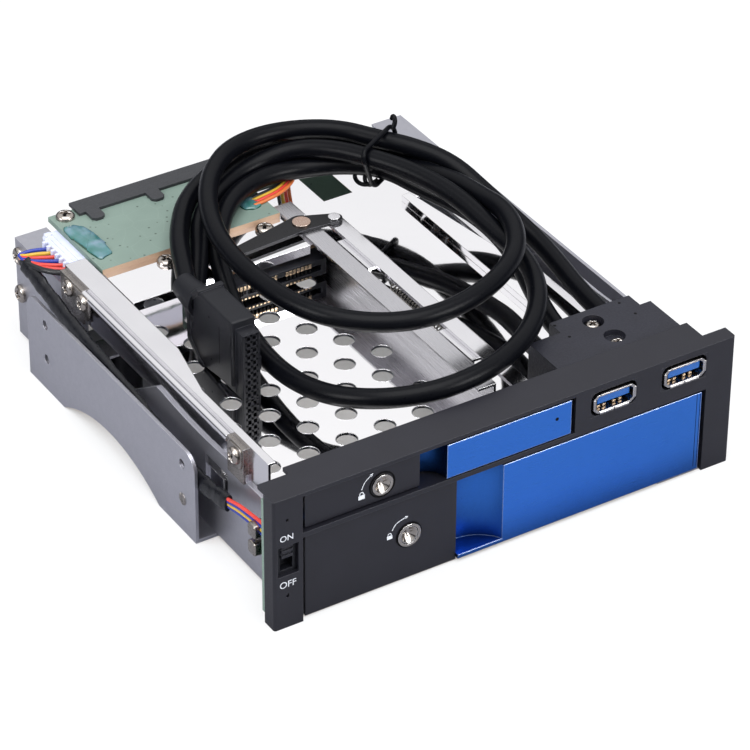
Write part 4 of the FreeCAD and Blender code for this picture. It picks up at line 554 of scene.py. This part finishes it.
def make_harness():
    """Seven wires leave the header and bend into the sleeve, four come out at its front end for the switch, and
    four run from the board down to the rear."""
    for step, colour in enumerate("blue yellow red blue red red black".split()):
        along = FIRST_WIRE - WIRE_PITCH * step
        share = step / 6
        tuck = (step - 3) * 0.32
        wire("header", step, colour, BLACK_WIRE if colour == "black" else HEADER_WIRE, [
            (-63.4, along, 36.9), (-65.6, along + 0.6, 37.1 + 0.3 * share), (-68.2, along + 2.2 * share + 1.2, 37.2),
            (-70.2, along + 5.6 * share + 1.6, 36.9 - 0.2 * share), (-71.7, 148.6 - 0.9 * share, 36.0 - tuck * 0.5),
            (-71.3, 145.4, 35.1 - tuck), (-71.0, 141.0, 34.2 - tuck * 0.8), (-70.9, 136.0, 33.0 - tuck * 0.5)])
    for step, (colour, height) in enumerate((("red", 28.2), ("blue", 26.9), ("yellow", 25.6), ("blue", 24.3))):
        lift = (1.5 - step) * 0.95
        wire("switch", step, colour, SWITCH_WIRE, [
            (-70.3, 36.0, 20.6 + lift * 0.6), (-70.4, 31.0, 21.6 + lift * 0.8), (-70.8, 24.0, 24.0 + lift),
            (-71.1, 16.0, (24.6 + height) / 2 + lift * 0.4), (-71.4, 10.0, height), (-71.6, 6.4, height + 0.3)])
    for step, colour in enumerate(("black", "yellow", "red", "orange")):
        side = (step - 1.5) * 1.25
        wire("power", step, colour, POWER_WIRE, [
            (-4.5, 130.6 - side, 41.9), (0.5, 131.0 - side, 42.1), (6.5, 132.5 - side * 0.9, 41.9),
            (12.6 + side * 0.5, 137.0 - side * 0.7, 41.4), (17.0 + side * 0.8, 144.6 - side * 0.3, 40.4),
            (19.9 + side, 151.0, 38.0), (21.0 + side, 155.0, 33.5), (21.2 + side, 155.9, 27.0),
            (21.2 + side, 158.0, 22.8)])


SLEEVE = [(-71.2, 145.2, 35.2), (-71.0, 142.0, 34.4), (-70.8, 132.0, 32.0), (-70.7, 118.5, 29.3),
          (-70.5, 100.0, 26.6), (-70.4, 80.0, 24.2), (-70.4, 60.0, 21.0), (-70.4, 45.0, 19.6), (-70.3, 36.0, 20.4),
          (-70.4, 30.6, 21.7)]


def make_sleeve():
    """A flattened tube along the harness, its height swelling and shrinking a little where it clings to wires."""
    path = smooth_path(SLEEVE, 90)
    along = np.linspace(0, 1, len(path))
    pinch = 1 + 0.05 * np.sin(along * 61) + 0.04 * np.sin(along * 143 + 1)
    piece("harness_tube", [swept(path, 1.25 * pinch, 20, tall=2.05)], "shrink_sleeve",
          ("harness_sleeve",))


make_harness()
make_sleeve()


# ---- header plug of the cables ----

SHELL_LENGTH = 24.0
BLOCK_HEIGHT = 21.6
PIN_PITCH, PIN_WALL = 2.06, 0.42
BOOTS = [([(-46.4, 86.5, 47.0), (-46.9, 91.0, 47.1), (-46.6, 96.0, 47.3)], 4.3, 1.12),
         ([(-45.2, 86.5, 40.2), (-45.4, 91.0, 40.8), (-42.6, 96.0, 41.7)], 4.2, 1.1)]


def make_header_plug():
    """Flat moulded shell with its rear corners cut off, a collar round its rear rim, boots round the two cables,
    and in front the block with two columns of ten square pin holes."""
    (left, nose, floor), (right, rear, top) = box_of("header_plug")
    front = rear - SHELL_LENGTH
    body = rounded([(front, floor + 2.4), (rear - 6.5, floor + 0.2), (rear, floor + 6.0), (rear, top - 5.5),
                    (rear - 5.0, top), (front, top)], [0.6, 0.8, 1.2, 1.2, 0.9, 0.6], 4)
    # collar that overlaps the rear rim
    collar = rounded([(rear - 8.2, floor), (rear - 6.1, floor), (rear + 0.7, floor + 5.6), (rear + 0.7, top - 5.1),
                      (rear - 4.7, top + 0.6), (rear - 6.4, top + 0.6), (rear - 6.4, top - 1.2),
                      (rear - 5.5, top - 1.2), (rear - 1.1, top - 6.0), (rear - 1.1, floor + 6.6),
                      (rear - 6.8, floor + 1.8), (rear - 8.2, floor + 1.8)], 0.5, 3)
    shells = [slab(body, left, right, 0.7, "x"), slab(collar, left - 0.35, right + 0.35, 0.3, "x")]
    # boots: the mouldings grip each cable and taper to it
    for boot, radius, tall in BOOTS:
        shells.append(swept(smooth_path(boot, 16), np.linspace(radius, 3.3, 16), 24, tall))
    # foot of the shell, the pin block, and the polarising ridge on its side
    block = (floor, floor + BLOCK_HEIGHT)
    shells += [bar((left + 0.9, right - 0.9), (floor + 0.3, floor + 4.0), (front - 0.4, front + 9.0), 0.4, 0.3, "y"),
               bar((left + 1.2, right - 1.2), block, (nose + 0.9, front + 0.6), 0.3, 0.1, "y"),
               bar((right - 1.3, right - 0.3), (floor + 8.4, floor + 12.8), (nose + 0.7, front - 0.8), 0.3, 0.2, "y")]
    # walls between the pin holes
    middle = (left + right) / 2
    first, last = middle - PIN_PITCH, middle + PIN_PITCH
    lowest = floor + 0.5
    walls = [rectangle(across - width, across + width, *block)
             for across, width in ((first, PIN_WALL * 1.6), (middle, PIN_WALL), (last, PIN_WALL * 1.6))]
    walls += [rectangle(first, last, level - PIN_WALL, level + PIN_WALL)
              for level in lowest + PIN_PITCH * np.arange(11)]
    shells += [slab(wall, nose, nose + 1.0, 0.08, "y") for wall in walls]
    piece("header_plug_shell", shells, "socket_nylon", ("header_plug",))
    # parting line, two gate marks and the floor of the pin holes, all drawn as flat dark marks: painted shade
    face = left - 0.02
    marks = [slab(rectangle(front + 6.8, front + 7.05, floor + 6.8, floor + 19.0), face, face + 0.05, 0.01, "x"),
             slab(rectangle(first, last, lowest, lowest + PIN_PITCH * 10), nose + 0.82, nose + 0.95, 0.01, "y")]
    for across, up in ((rear - 11.5, top - 5.0), (rear - 12.5, floor + 5.5)):
        marks.append(turned([(0.32, 0.0), (0.32, 0.05)], (face, across, up), "x", 12))
    piece("header_plug_gaps", marks, "shadow_gap")


make_header_plug()


COIL_MIDDLE, TIE_TURN = (6.0, 106.0), math.radians(30.0)


def make_twist_tie():
    """A soft tie wound once round the four strands, in the plane across them, with its tail looped underneath."""
    def placed(points):
        """Points given outwards from the coil's middle, along its strands and upwards."""
        points = np.array(points, float)
        return np.c_[COIL_MIDDLE + points[:, :2] @ spun(TIE_TURN), points[:, 2]]

    hull = rounded([(22.6, 55.3), (42.6, 55.2), (44.4, 41.8), (28.6, 41.5)], [2.4, 2.9, 2.9, 2.9], 10)
    closed = np.vstack([hull, hull[:1]])
    lean = 0.8 * np.sin(np.linspace(0, 1, len(closed)) * TURN)
    shells = [swept(placed(np.c_[closed[:, 0], lean, closed[:, 1]]), 0.72, 12)]
    for out, reach, deep in ((0.0, 6.6, 40.6), (1.0, 3.6, 40.2)):
        tail = placed([(31.2 + out, 0.0, 42.0), (30.0 + out, reach * 0.3, 40.4), (29.4 + out, reach * 0.8, deep),
                       (29.4 + out, reach, deep + 2.6), (29.8 + out, reach * 0.7, 45.4), (30.4 + out, 0.6, 46.6)])
        shells.append(swept(smooth_path(tail, 30), 0.66, 12))
    twist = placed([(40.6, -0.5, 55.2), (41.4, -0.8, 56.6), (42.0, -0.2, 58.1), (42.4, 0.6, 58.2), (42.6, 0.9, 57.0)])
    shells.append(swept(smooth_path(twist, 22), 0.74, 12))
    piece("twist_tie", shells, "cable_jacket", ("cable_tie",))


make_twist_tie()


# ---- screws ----

def screw_head(centre, axis, side, radius, rise, spin, slot=False):
    """A pan head as a grid of rings and spokes: its height falls as the fourth power of the distance from the
    middle, and the recess is cut where either arm of the cross is nearer than half its width."""
    share = np.concatenate([np.linspace(0.02, 0.66, 12), np.linspace(0.72, 1.0, 7)])
    ring, turn = np.meshgrid(share, np.linspace(0, TURN, 64, endpoint=False), indexing="ij")
    across, over = np.abs(ring * np.cos(turn - spin)), np.abs(ring * np.sin(turn - spin))
    arm, reach = (over, 1.1) if slot else (np.minimum(across, over), 0.60)
    cut = np.clip((0.185 - arm) / 0.05, 0, 1) * np.clip((reach - ring) / 0.10, 0, 1)
    height = rise * np.sqrt(np.clip(1 - ring ** 4 * 0.82, 0, 1)) - cut * rise * 0.72
    # the last ring is the rim, once at the edge of the head and once on the sheet
    ring, turn = (np.concatenate([grid, grid[-1:]]) for grid in (ring, turn))
    height = np.concatenate([height, np.zeros((1, 64))])
    first, second, third = (centre[place] for place in AXES[axis])
    return laid(axis, first + ring * radius * np.cos(turn), second + ring * radius * np.sin(turn),
                third + height * side), True


def cross_pit(centre, axis, side, radius, rise, spin):
    """Painted shade on the floor of the driver recess: two dark crossed bars just above the bottom of the cut."""
    first, second, third = (centre[place] for place in AXES[axis])
    levels = sorted(third + side * rise * share for share in (0.30, 0.46))
    arm = np.array(rectangle(-0.50, 0.50, -0.125, 0.125)) * radius
    return [slab(arm @ spun(turn) + (first, second), *levels, 0.01, axis) for turn in (spin, spin + math.pi / 2)]


BOARD_TOP = box_of("upper_backplane_board")[1][2]
TRAY_TOP = box_of("rear_bridge_plate")[1][2]
SIDE_FACE = box_of("right_inner_wall")[1][0]
CLIP_FACE = box_of("rail_clips")[0][0]


def make_screws():
    """Pan heads where the cage, the rail clips, the board and the USB housing are screwed down."""
    places = [((-39.6, 118.4, TRAY_TOP), "z", 1, 2.8, 1.6, 0.3), ((-7.0, 118.4, TRAY_TOP), "z", 1, 2.8, 1.6, 1.0),
              ((-54.1, 152.2, BOARD_TOP), "z", 1, 2.8, 1.6, 0.9), ((46.8, 29.4, 38.2), "z", 1, 2.2, 1.5, 0.2),
              ((47.7, 18.4, 38.6), "z", 1, 2.2, 1.1, 0.8)]
    places += [((SIDE_FACE * side, 158.2, level), "x", side, 2.8, 1.6, spin)
               for side in (-1, 1) for level, spin in ((29.0, 0.5), (16.0, 0.1))]
    places += [((CLIP_FACE - 0.3, along, level), "x", -1, 2.6, 1.5, spin)
               for along, level, spin in ((31.8, 35.8, 0.7), (125.2, 36.9, 0.2), (116.9, 36.4, 0.9))]
    piece("pan_head_screws", [screw_head(*place) for place in places], "nickel", ("pan_screws",))
    # painted shade: dark crosses in the driver recesses
    piece("screw_recesses", [arm for place in places for arm in cross_pit(*place)], "shadow_gap")
    piece("slotted_screw", [screw_head((-73.0, 51.5, 11.0), "x", -1, 1.9, 0.35, 1.15, slot=True)], "clip_steel")


def make_clip_lobes():
    """Rounded lobe of each rail clip that carries its screws, and the two lugs behind the switch board."""
    rear = rounded([(129.3, 39.2), (129.0, 31.6), (120.0, 30.4), (113.4, 31.4), (113.2, 39.2)],
                   [1.6, 3.2, 3.0, 2.6, 1.6], 7)
    front = rounded([(35.6, 39.2), (35.4, 31.8), (28.6, 31.6), (28.2, 39.2)], [1.6, 3.2, 3.0, 1.8], 7)
    lobes = [slab(outline[::-1], CLIP_FACE - 0.4, CLIP_FACE + 0.2, 0.15, "x") for outline in (rear, front)]
    piece("clip_lobes", lobes, "clip_steel")
    lugs = [bar((11.6, 15.6), (low, low + 4.2), (-73.4, -69.4), 1.0, 0.4, "x", 5) for low in (22.4, 16.7)]
    piece("switch_board_lugs", lugs, "clip_steel")


make_screws()
make_clip_lobes()


# ---- resin drops on the upper board ----

def drop(outline, base, rise, phase):
    """A cushion over an outline: rings drawn towards the middle as a cosine while they climb as a sine, with a
    slow ripple of their height and rim."""
    middle = outline.mean(0)
    climb = np.linspace(0, math.pi / 2 - 0.03, 12)[:, None]
    spin = np.linspace(0, TURN, len(outline), endpoint=False)
    drawn = np.cos(climb) * (1 + 0.045 * np.sin(spin * 3 + phase) + 0.03 * np.sin(spin * 7 + phase * 2))
    lift = rise * np.sin(climb) ** 0.75 * (1 + 0.10 * np.sin(spin * 5 + phase) * np.cos(climb))
    flat = middle + (outline - middle) * drawn[..., None]
    return laid("z", flat[..., 0], flat[..., 1], base + lift), True


def make_drops():
    """A long drop over the header's joints and a short one near the middle of the board."""
    left = rounded([(-58.0, 147.0), (-58.3, 140.5), (-57.4, 133.0), (-56.4, 127.0), (-51.6, 127.4), (-50.9, 134.0),
                    (-51.2, 141.0), (-52.4, 147.0)], [1.6, 3.0, 4.0, 2.0, 2.0, 4.0, 3.0, 2.4], 7)
    right = rounded([(-7.9, 127.2), (-1.8, 127.6), (-1.9, 134.8), (-8.1, 134.4)], 2.4, 8)
    piece("resin_drops", [drop(left, BOARD_TOP, 1.25, 0.7), drop(right, BOARD_TOP, 1.05, 2.1)], "resin",
          ("resin_beads",))


make_drops()


# ---- wire header on the left edge of the upper board ----

def make_header():
    """Moulded shell with a row of teeth between the wires, a ledge over them and a rib along its top."""
    (left, front, low), (right, rear, high) = box_of("switch_header")
    whole = (front, rear)
    shells = [bar((left + 2.4, right), whole, (low, high - 0.5), 0.35),
              bar((left + 3.6, right - 0.6), (front + 0.4, rear - 0.4), (high - 1.2, high), edge=0.18),
              bar((left + 1.0, left + 3.0), whole, (low, low + 1.5), edge=0.15),
              bar((left + 1.2, left + 3.0), whole, (high - 2.0, high - 0.9)),
              bar((left + 1.6, left + 3.8), (rear - 1.6, rear), (low, high))]
    for middle in FIRST_WIRE + WIRE_PITCH * (0.48 - np.arange(8)):
        shells.append(bar((left, left + 2.8), (middle - 0.5, middle + 0.5), (low, high - 1.1), 0.25))
    piece("wire_header", shells, "white_nylon", ("switch_header",))


make_header()


# ---- USB ports ----

SHELLS_LOW, SHELLS_HIGH = box_of("usb_shells")
PORT_REACH = 7.35
PORTS = (SHELLS_LOW[0] + PORT_REACH, SHELLS_HIGH[0] - PORT_REACH)
PORT_LEVEL = (SHELLS_LOW[2] + SHELLS_HIGH[2]) / 2
PORT_WIDE, PORT_TALL, PORT_WALL = 6.6, 2.9, 0.42


def make_ports():
    """Each port is a drawn tube whose mouth is turned outwards in tabs, the lower one with the seam of the folded
    sheet; in it stands the moulded block with its tongue and contact springs, round it a black frame."""
    tubes, blocks, springs, tongues, frames = [], [], [], [], []
    wide, tall = PORT_WIDE, PORT_TALL
    outer = np.array([(-wide + 1.1, -tall), (wide - 1.1, -tall), (wide, -tall + 1.0), (wide, tall - 0.9),
                      (wide - 0.9, tall), (-wide + 0.9, tall), (-wide, tall - 0.9), (-wide, -tall + 1.0)])
    inner = outer * (1 - PORT_WALL / np.abs(outer))
    for middle in PORTS:
        centre = np.array((middle, PORT_LEVEL))

        def part(left, right, low, high, along, corner, edge, steps=3):
            """A bar placed from the middle of the port's mouth."""
            return bar((middle + left, middle + right), (PORT_LEVEL + low, PORT_LEVEL + high), along, corner, edge,
                       "y", steps)

        tubes.append(ring_slab(rounded(centre + outer, 0.35, 4), rounded(centre + inner, 0.2, 4), 17.0, -0.35, -0.1,
                               "y"))
        tubes += [part(*spans, (-0.6, 0.9), 0.22, 0.22, 4)
                  for spans in ((-4.9, -0.08, -3.45, -2.72), (0.08, 4.9, -3.45, -2.72), (-7.1, -6.42, -1.7, 1.9),
                                (6.42, 7.1, -1.7, 1.9), (-4.7, 4.7, 2.74, 3.12))]
        blocks.append(part(-6.1, 6.1, -2.4, 2.4, (9.0, 16.8), 0.3, 0.1))
        tongues.append(part(-5.3, 5.3, -0.35, 2.15, (0.3, 16.6), 0.15, 0.12))
        springs += [part(across - 0.6, across + 0.6, -2.38, -1.55, (1.2, 4.4), 0.1, 0.15)
                    for across in (-4.2, -2.4, 0.9, 2.9)]
        rim, mouth = (rounded(centre + np.array(rectangle(-half, half, -high, high)), corner, 7)
                      for half, high, corner in ((7.69, 3.99, 0.03), (7.6, 3.9, 2.3)))
        frames.append(ring_slab(rim, mouth, 1.6, 0.04, -0.04, "y"))
    piece("usb_port_tubes", tubes, "port_tin", ("usb_shells",))
    piece("usb_port_tongues", tongues, "tongue_blue", ("usb_tongues",))
    piece("usb_port_frames", frames, "satin_abs")
    piece("usb_port_blocks", blocks, "socket_nylon")
    piece("usb_port_springs", springs, "gold_contact")


make_ports()


def make_housing_marks():
    """Four ejector-pin pits in the top of the housing, drawn as flat dark discs: painted shade."""
    top = box_of("usb_housing")[1][2]
    pits = [turned([(0.45, 0.0), (0.45, 0.02)], (across, along, top), "z", 14)
            for across, along in ((36.2, 32.7), (36.6, 26.0), (58.1, 32.7), (58.9, 26.0))]
    piece("housing_pits", pits, "shadow_gap")


make_housing_marks()


# ---- locks ----

LOCKS = {"upper": (-40.2, 34.9), "lower": (-31.6, 14.9)}
# padlock's place from the lock, its size, and the points of the arc over it
LOCK_MARKS = {"upper": ((-6.4, -1.7), 1.0, [(-6.4, 0.5), (-5.9, 1.9), (-5.1, 3.1), (-3.4, 4.3)]),
              "lower": ((-6.1, 1.4), 0.86, [(-5.3, 3.3), (-4.7, 4.5), (-3.3, 5.6), (-0.9, 6.1)])}
CORE_RADIUS, CORE_FACE = 2.62, 0.85
LOCK_PLATE_FACE = box_of("upper_lock_plate")[0][1]


def make_lock(where):
    """The turning core of a cam lock: a cone sunk to a square drive, with three facets and a raised pointer at the
    top, as a grid of rings and spokes; behind it the stem down to the cam."""
    across, level = LOCKS[where]
    angle = np.linspace(0, TURN, 72, endpoint=False)
    ring, turn = np.meshgrid(np.linspace(1.0, 0.03, 22), angle, indexing="ij")
    side, up = ring * CORE_RADIUS * np.cos(turn), ring * CORE_RADIUS * np.sin(turn)
    sink = 1.75 * (1 - ring ** 1.3) * (0.82 + 0.26 * np.abs(np.sin(1.5 * (turn - 0.55))))
    pointer = np.clip((0.62 - np.abs(side + 0.25 * up)) / 0.15, 0, 1) * np.clip((up - 0.25) / 0.5, 0, 1)
    cone = laid("y", across + side, level + up, CORE_FACE + sink * (1 - 0.8 * pointer))
    stem, _ = turned([(2.3, 9.0), (CORE_RADIUS, CORE_FACE + 0.9)], (across, 0.0, level), "y", 72)
    piece(where + "_lock_core", [(np.concatenate([stem, cone]), True)], "lock_chrome",
          (where + "_lock_plug",), where + "_lock")
    # painted shade: a flat dark ring standing for the gap round the lock
    gap = turned([(3.66, 1.0), (3.66, 1.12), (4.05, 1.12), (4.05, 1.0), (3.66, 1.0)], (across, 0.0, level), "y", 40,
                 False)
    piece(where + "_lock_gap", [gap], "shadow_gap", body=where + "_door")


for which in LOCKS:
    make_lock(which)


# ---- printed marks ----

INK = 0.02


def lettering(text, centre, width):
    """The outline of a word in the standard face, made a mesh, then scaled to its printed width and laid on the
    front of the bezel."""
    curve = bpy.data.curves.new("letters", "FONT")
    curve.body = text
    curve.extrude = 0.5
    curve.resolution_u = 5
    drawn = bpy.data.objects.new("letters", curve)
    mesh = bpy.data.meshes.new_from_object(drawn)
    bpy.data.objects.remove(drawn)
    flat = np.zeros(len(mesh.vertices) * 3)
    mesh.vertices.foreach_get("co", flat)
    flat = flat.reshape(-1, 3)
    low, high = flat.min(0), flat.max(0)
    across, up, _ = ((flat - (low + high) / 2) * width / (high[0] - low[0])).T
    placed = laid("y", centre[0] + across, centre[2] + up,
                  centre[1] - (flat[:, 2] / (high[2] - low[2]) + 0.5) * INK)
    mesh.vertices.foreach_set("co", to_row(placed).ravel())
    outward(mesh)
    return settle(bpy.data.objects.new("printed_" + text.lower(), mesh), "white_ink")


def ribbon(points, width, face):
    """A flat strip that follows a line of (x, z) points, with the ink's thickness in front of a face."""
    line = np.array(points, float)
    along = unit(np.gradient(line, axis=0))
    side = np.stack([-along[:, 1], along[:, 0]], 1) * width / 2
    return slab(np.vstack([line - side, (line + side)[::-1]]), face - INK, face, 0.0, "y")


def make_marks():
    """Words beside the rocker, and for each lock a padlock with an arc whose arrow shows which way it closes."""
    lettering("ON", (-70.45, 0.0, 29.8), 4.0)
    lettering("OFF", (-70.15, 0.0, 14.5), 5.0)
    # painted shade: the two pinholes in the bezel are flat dark discs
    pins = [turned([(0.3, 0.0), (0.3, -0.02)], (-70.1, 0.0, level), "y", 12) for level in (35.6, 11.0)]
    piece("bezel_pinholes", pins, "shadow_gap")
    face = LOCK_PLATE_FACE
    for where, (pad, size, arc) in LOCK_MARKS.items():
        origin = np.array(LOCKS[where])
        middle = origin + pad
        body = rounded(middle + np.array(rectangle(-1.0, 1.0, -0.85, 0.55)) * size, 0.15, 3)
        bow = np.linspace(0, math.pi, 13)
        arch = np.stack([np.cos(bow) * 0.62, 0.72 + np.sin(bow) * 0.72], 1)
        shackle = middle + np.vstack([(0.62, 0.45), arch, (-0.62, 0.45)]) * size
        curve = smooth_path(np.c_[origin + np.array(arc), np.zeros(len(arc))], 22)[:, :2]
        tip, way = curve[-1], unit(curve[-1:] - curve[-3])[0]
        normal = np.array((-way[1], way[0]))
        head = [tip + way * 0.75, tip + normal * 0.55 - way * 0.25, tip - normal * 0.55 - way * 0.25]
        marks = [slab(body, face - INK, face, 0.0, "y"), ribbon(shackle, 0.30 * size, face),
                 ribbon(curve, 0.26, face), slab(head, face - INK, face, 0.0, "y")]
        piece(where + "_lock_mark", marks, "white_ink", body=where + "_door")


make_marks()


# ---- pulls and the indicator ----

def make_front_details():
    """Lens of the indicator; the pinhole of the upper pull and the shut lines of the lower pull, drawn as flat dark
    marks: painted shade.
    """
    lens = bar((-65.6, -64.9), (31.2, 33.2), (3.0, 5.2), 0.2, 0.2, "y", 4)
    piece("indicator_lens", [lens], "blue_lens")
    face = box_of("upper_pull")[0][1]
    hole = turned([(0.55, 0.0), (0.55, -0.02)], (15.0, face, 36.3), "y", 16)
    piece("upper_pull_pinhole", [hole], "shadow_gap", body="upper_door")
    low, high = box_of("lower_pull")
    lines = [slab(rectangle(across, across + 0.16, low[2] + 1.2, high[2] - 0.3), low[1] - 0.02, low[1], 0.0, "y")
             for across in (62.3, 63.4)]
    piece("lower_pull_lines", lines, "shadow_gap", body="lower_door")


make_front_details()


# ---- inside of the bay ----

COIL_RADIUS, COIL_PITCH, COIL_TURNS, COIL_WIRE = 1.15, 1.35, 21, 0.24


def make_spring():
    """Helix of drawn wire between the bracket and the rear."""
    angle = np.linspace(0, TURN * COIL_TURNS, COIL_TURNS * 14)
    path = np.stack([11.0 + COIL_RADIUS * np.cos(angle), 49.0 + COIL_PITCH * angle / TURN,
                     37.6 + COIL_RADIUS * np.sin(angle)], 1)
    piece("return_coil", [swept(path, COIL_WIRE, 8)], "spring_wire", ("return_spring",))


def pierced(middle, half_wide, half_long, radius, low, high):
    """One cell of a plate with a round hole: its rim is the rectangle that the same spokes reach."""
    angle = np.linspace(0, TURN, 48, endpoint=False)
    corner = math.atan2(half_long, half_wide)
    for exact in (corner, math.pi - corner, math.pi + corner, TURN - corner):
        angle[np.argmin(np.abs(angle - exact))] = exact
    spokes = np.stack([np.cos(angle), np.sin(angle)], 1)
    with np.errstate(divide="ignore"):
        reach = np.minimum(half_wide / np.abs(spokes[:, 0]), half_long / np.abs(spokes[:, 1]))
    return ring_slab(middle + spokes * reach[:, None], middle + spokes * radius, low, high, 0.02)


def make_spring_bracket():
    """Black strip with three holes in which the spring is hooked."""
    cells = [pierced(np.array((12.9, along)), 1.7, 2.6, 1.25, 36.4, 37.4) for along in (38.2, 43.4, 48.6)]
    piece("spring_bracket", cells, "black_oxide")


CONTACT_PITCH = 1.27


def make_contacts():
    """Gold contacts of the upper drive socket in a group of seven and one of fifteen, and the tails below."""
    low, high = box_of("upper_drive_socket")
    front = low[1]
    strips, slots, tails = [], [], []
    for step in (*range(7), *range(9, 24)):
        middle = high[0] - 5.5 - CONTACT_PITCH * step
        for kept, half, bottom, top, near, far, edge in (
                (strips, 0.45, high[2] - 2.0, high[2] - 0.6, -0.05, 0.2, 0.03),
                (slots, 0.3, high[2] - 3.4, high[2] - 2.2, -0.02, 0.1, 0.01),
                (tails, 0.4, low[2] + 0.2, low[2] + 0.7, -0.3, 0.4, 0.05)):
            kept.append(slab(rectangle(middle - half, middle + half, bottom, top), front + near, front + far, edge,
                             "y"))
    piece("drive_contacts", strips + tails, "gold_contact")
    # painted shade: dark slots under the contact strips
    piece("drive_contact_slots", slots, "shadow_gap")


DECK_SHEET = 0.8
DECK_TOP = box_of("middle_deck")[0][2] + DECK_SHEET
HOLE_RADIUS = 3.0
HOLE_STEP = np.array((12.26, 20.7))
FIRST_HOLE = np.array((-57.4, 30.9))


def make_deck_rims():
    """Burred edge round each hole of the deck, a low lip that catches the light. Every second row of holes stands
    half a step aside."""
    lip = [(HOLE_RADIUS + out, rise) for out, rise in ((0, -0.1), (0.01, 0.03), (0.06, 0.05), (0.18, 0.01),
                                                       (0.18, -0.1), (0, -0.1))]
    rims = [turned(lip, (*(FIRST_HOLE + HOLE_STEP * (column + half, row + half)), DECK_TOP), "z", 36, False)
            for row in range(4) for column in range(5) for half in (0, 0.5)]
    piece("deck_hole_lips", rims, "bright_stainless")


make_spring()
make_spring_bracket()
make_contacts()
make_deck_rims()


# ---- light and floor ----

def make_room():
    """A white room for everything seen directly; metal sees pale walls above, a dark band at the height of the
    stand and a mid-grey below."""
    world = bpy.data.worlds.new("studio")
    bpy.context.scene.world = world
    world.use_nodes = True
    world.node_tree.nodes.clear()
    node = partial(put, world.node_tree)
    direction = node("TexCoord", out="Generated")
    height = node("SeparateXYZ", out="Z", Vector=direction)
    level = node("MapRange", Value=height, From_Min=-1.0)
    walls = [(0.0, "b0b2b8"), (0.47, "8c8f96"), (0.52, "2a2b2f"), (0.60, "3a3b40"), (0.68, "d8d9dd"),
             (0.8, "ffffff"), (1.0, "ffffff")]
    mirrored = node("Background", Color=node("ValToRGB", {"stops": walls}, Fac=level), Strength=1.0)
    soft = node("Background", Color="f4f6fa", Strength=0.5)
    white = node("Background", Color="ffffff", Strength=1.0)
    lit = node("MixShader", i0=node("LightPath", out="Is Glossy Ray"), i1=soft, i2=mirrored)
    shown = node("Math", {"operation": "MAXIMUM"}, i0=node("LightPath", out="Is Camera Ray"),
                 i1=node("LightPath", out="Is Transmission Ray"))
    node("OutputWorld", Surface=node("MixShader", i0=shown, i1=lit, i2=white))


# name, place, side, power and aim of each soft box
SOFT_BOXES = [("overhead_box", (-100, -100, 900), 900, 9.0, (0, 80, 20)),
              ("front_box", (500, -900, 500), 500, 7.0, (0, 20, 20)),
              ("left_box", (-900, 100, 420), 420, 4.0, (0, 80, 20))]


def make_lamps():
    """Square soft boxes, each turned so that its face looks at its aim."""
    for name, place, size, power, aim in SOFT_BOXES:
        data = bpy.data.lights.new(name, "AREA")
        data.shape = "SQUARE"
        data.size = size * MM
        data.energy = power
        lamp = bpy.data.objects.new(name, data)
        bpy.context.collection.objects.link(lamp)
        lamp.location = to_row(place)
        lamp.rotation_mode = "QUATERNION"
        lamp.rotation_quaternion = Vector(to_row(aim) - to_row(place)).to_track_quat("-Z", "Y")


FLOOR_REACH, FLOOR_LEVEL = 4000.0, -0.05


def make_floor():
    """Pale sheet that keeps the shadow: white paint, shown at full white where nothing stands near it. Where things
    stand near, ambient occlusion turns the paint warm grey, a painted shade, and in reflections the sheet shows a
    darker grey, a painted reflection.
    """
    material, node = new_tree("pale_sweep")
    near = node("AmbientOcclusion", {"samples": 8}, "AO", Distance=0.07)
    clear = node("MapRange", Value=near, From_Min=0.05, From_Max=0.35, To_Min=0.08)
    # painted shade: ambient occlusion mixes the paint towards warm grey where things stand near
    shade = node("Mix", *RGB, i0=clear, i6="d8c4b6", i7="f2f3f5")
    # painted reflection: glossy rays see the sheet in a darker grey than its paint
    seen = node("Mix", *RGB, i0=node("LightPath", out="Is Glossy Ray"), i6=shade, i7="a4a5ab")
    paint = node("BsdfDiffuse", Color=seen)
    glow = node("Emission", Color="ffffff", Strength=1.0)
    shown = node("Math", {"operation": "MULTIPLY"}, i0=node("LightPath", out="Is Camera Ray"), i1=0.7)
    share = node("Math", {"operation": "MULTIPLY"}, i0=shown, i1=clear)
    node("OutputMaterial", Surface=node("MixShader", i0=share, i1=paint, i2=glow))
    mesh = bpy.data.meshes.new("floor")
    corners = rectangle(-FLOOR_REACH, FLOOR_REACH, -FLOOR_REACH, FLOOR_REACH)
    mesh.from_pydata(to_row([(*corner, FLOOR_LEVEL) for corner in corners]).tolist(), [], [(0, 1, 2, 3)])
    mesh.materials.append(material)
    floor = bpy.data.objects.new("floor", mesh)
    bpy.context.collection.objects.link(floor)


make_room()
make_lamps()
make_floor()
bpy.context.scene.view_settings.view_transform = "Standard"
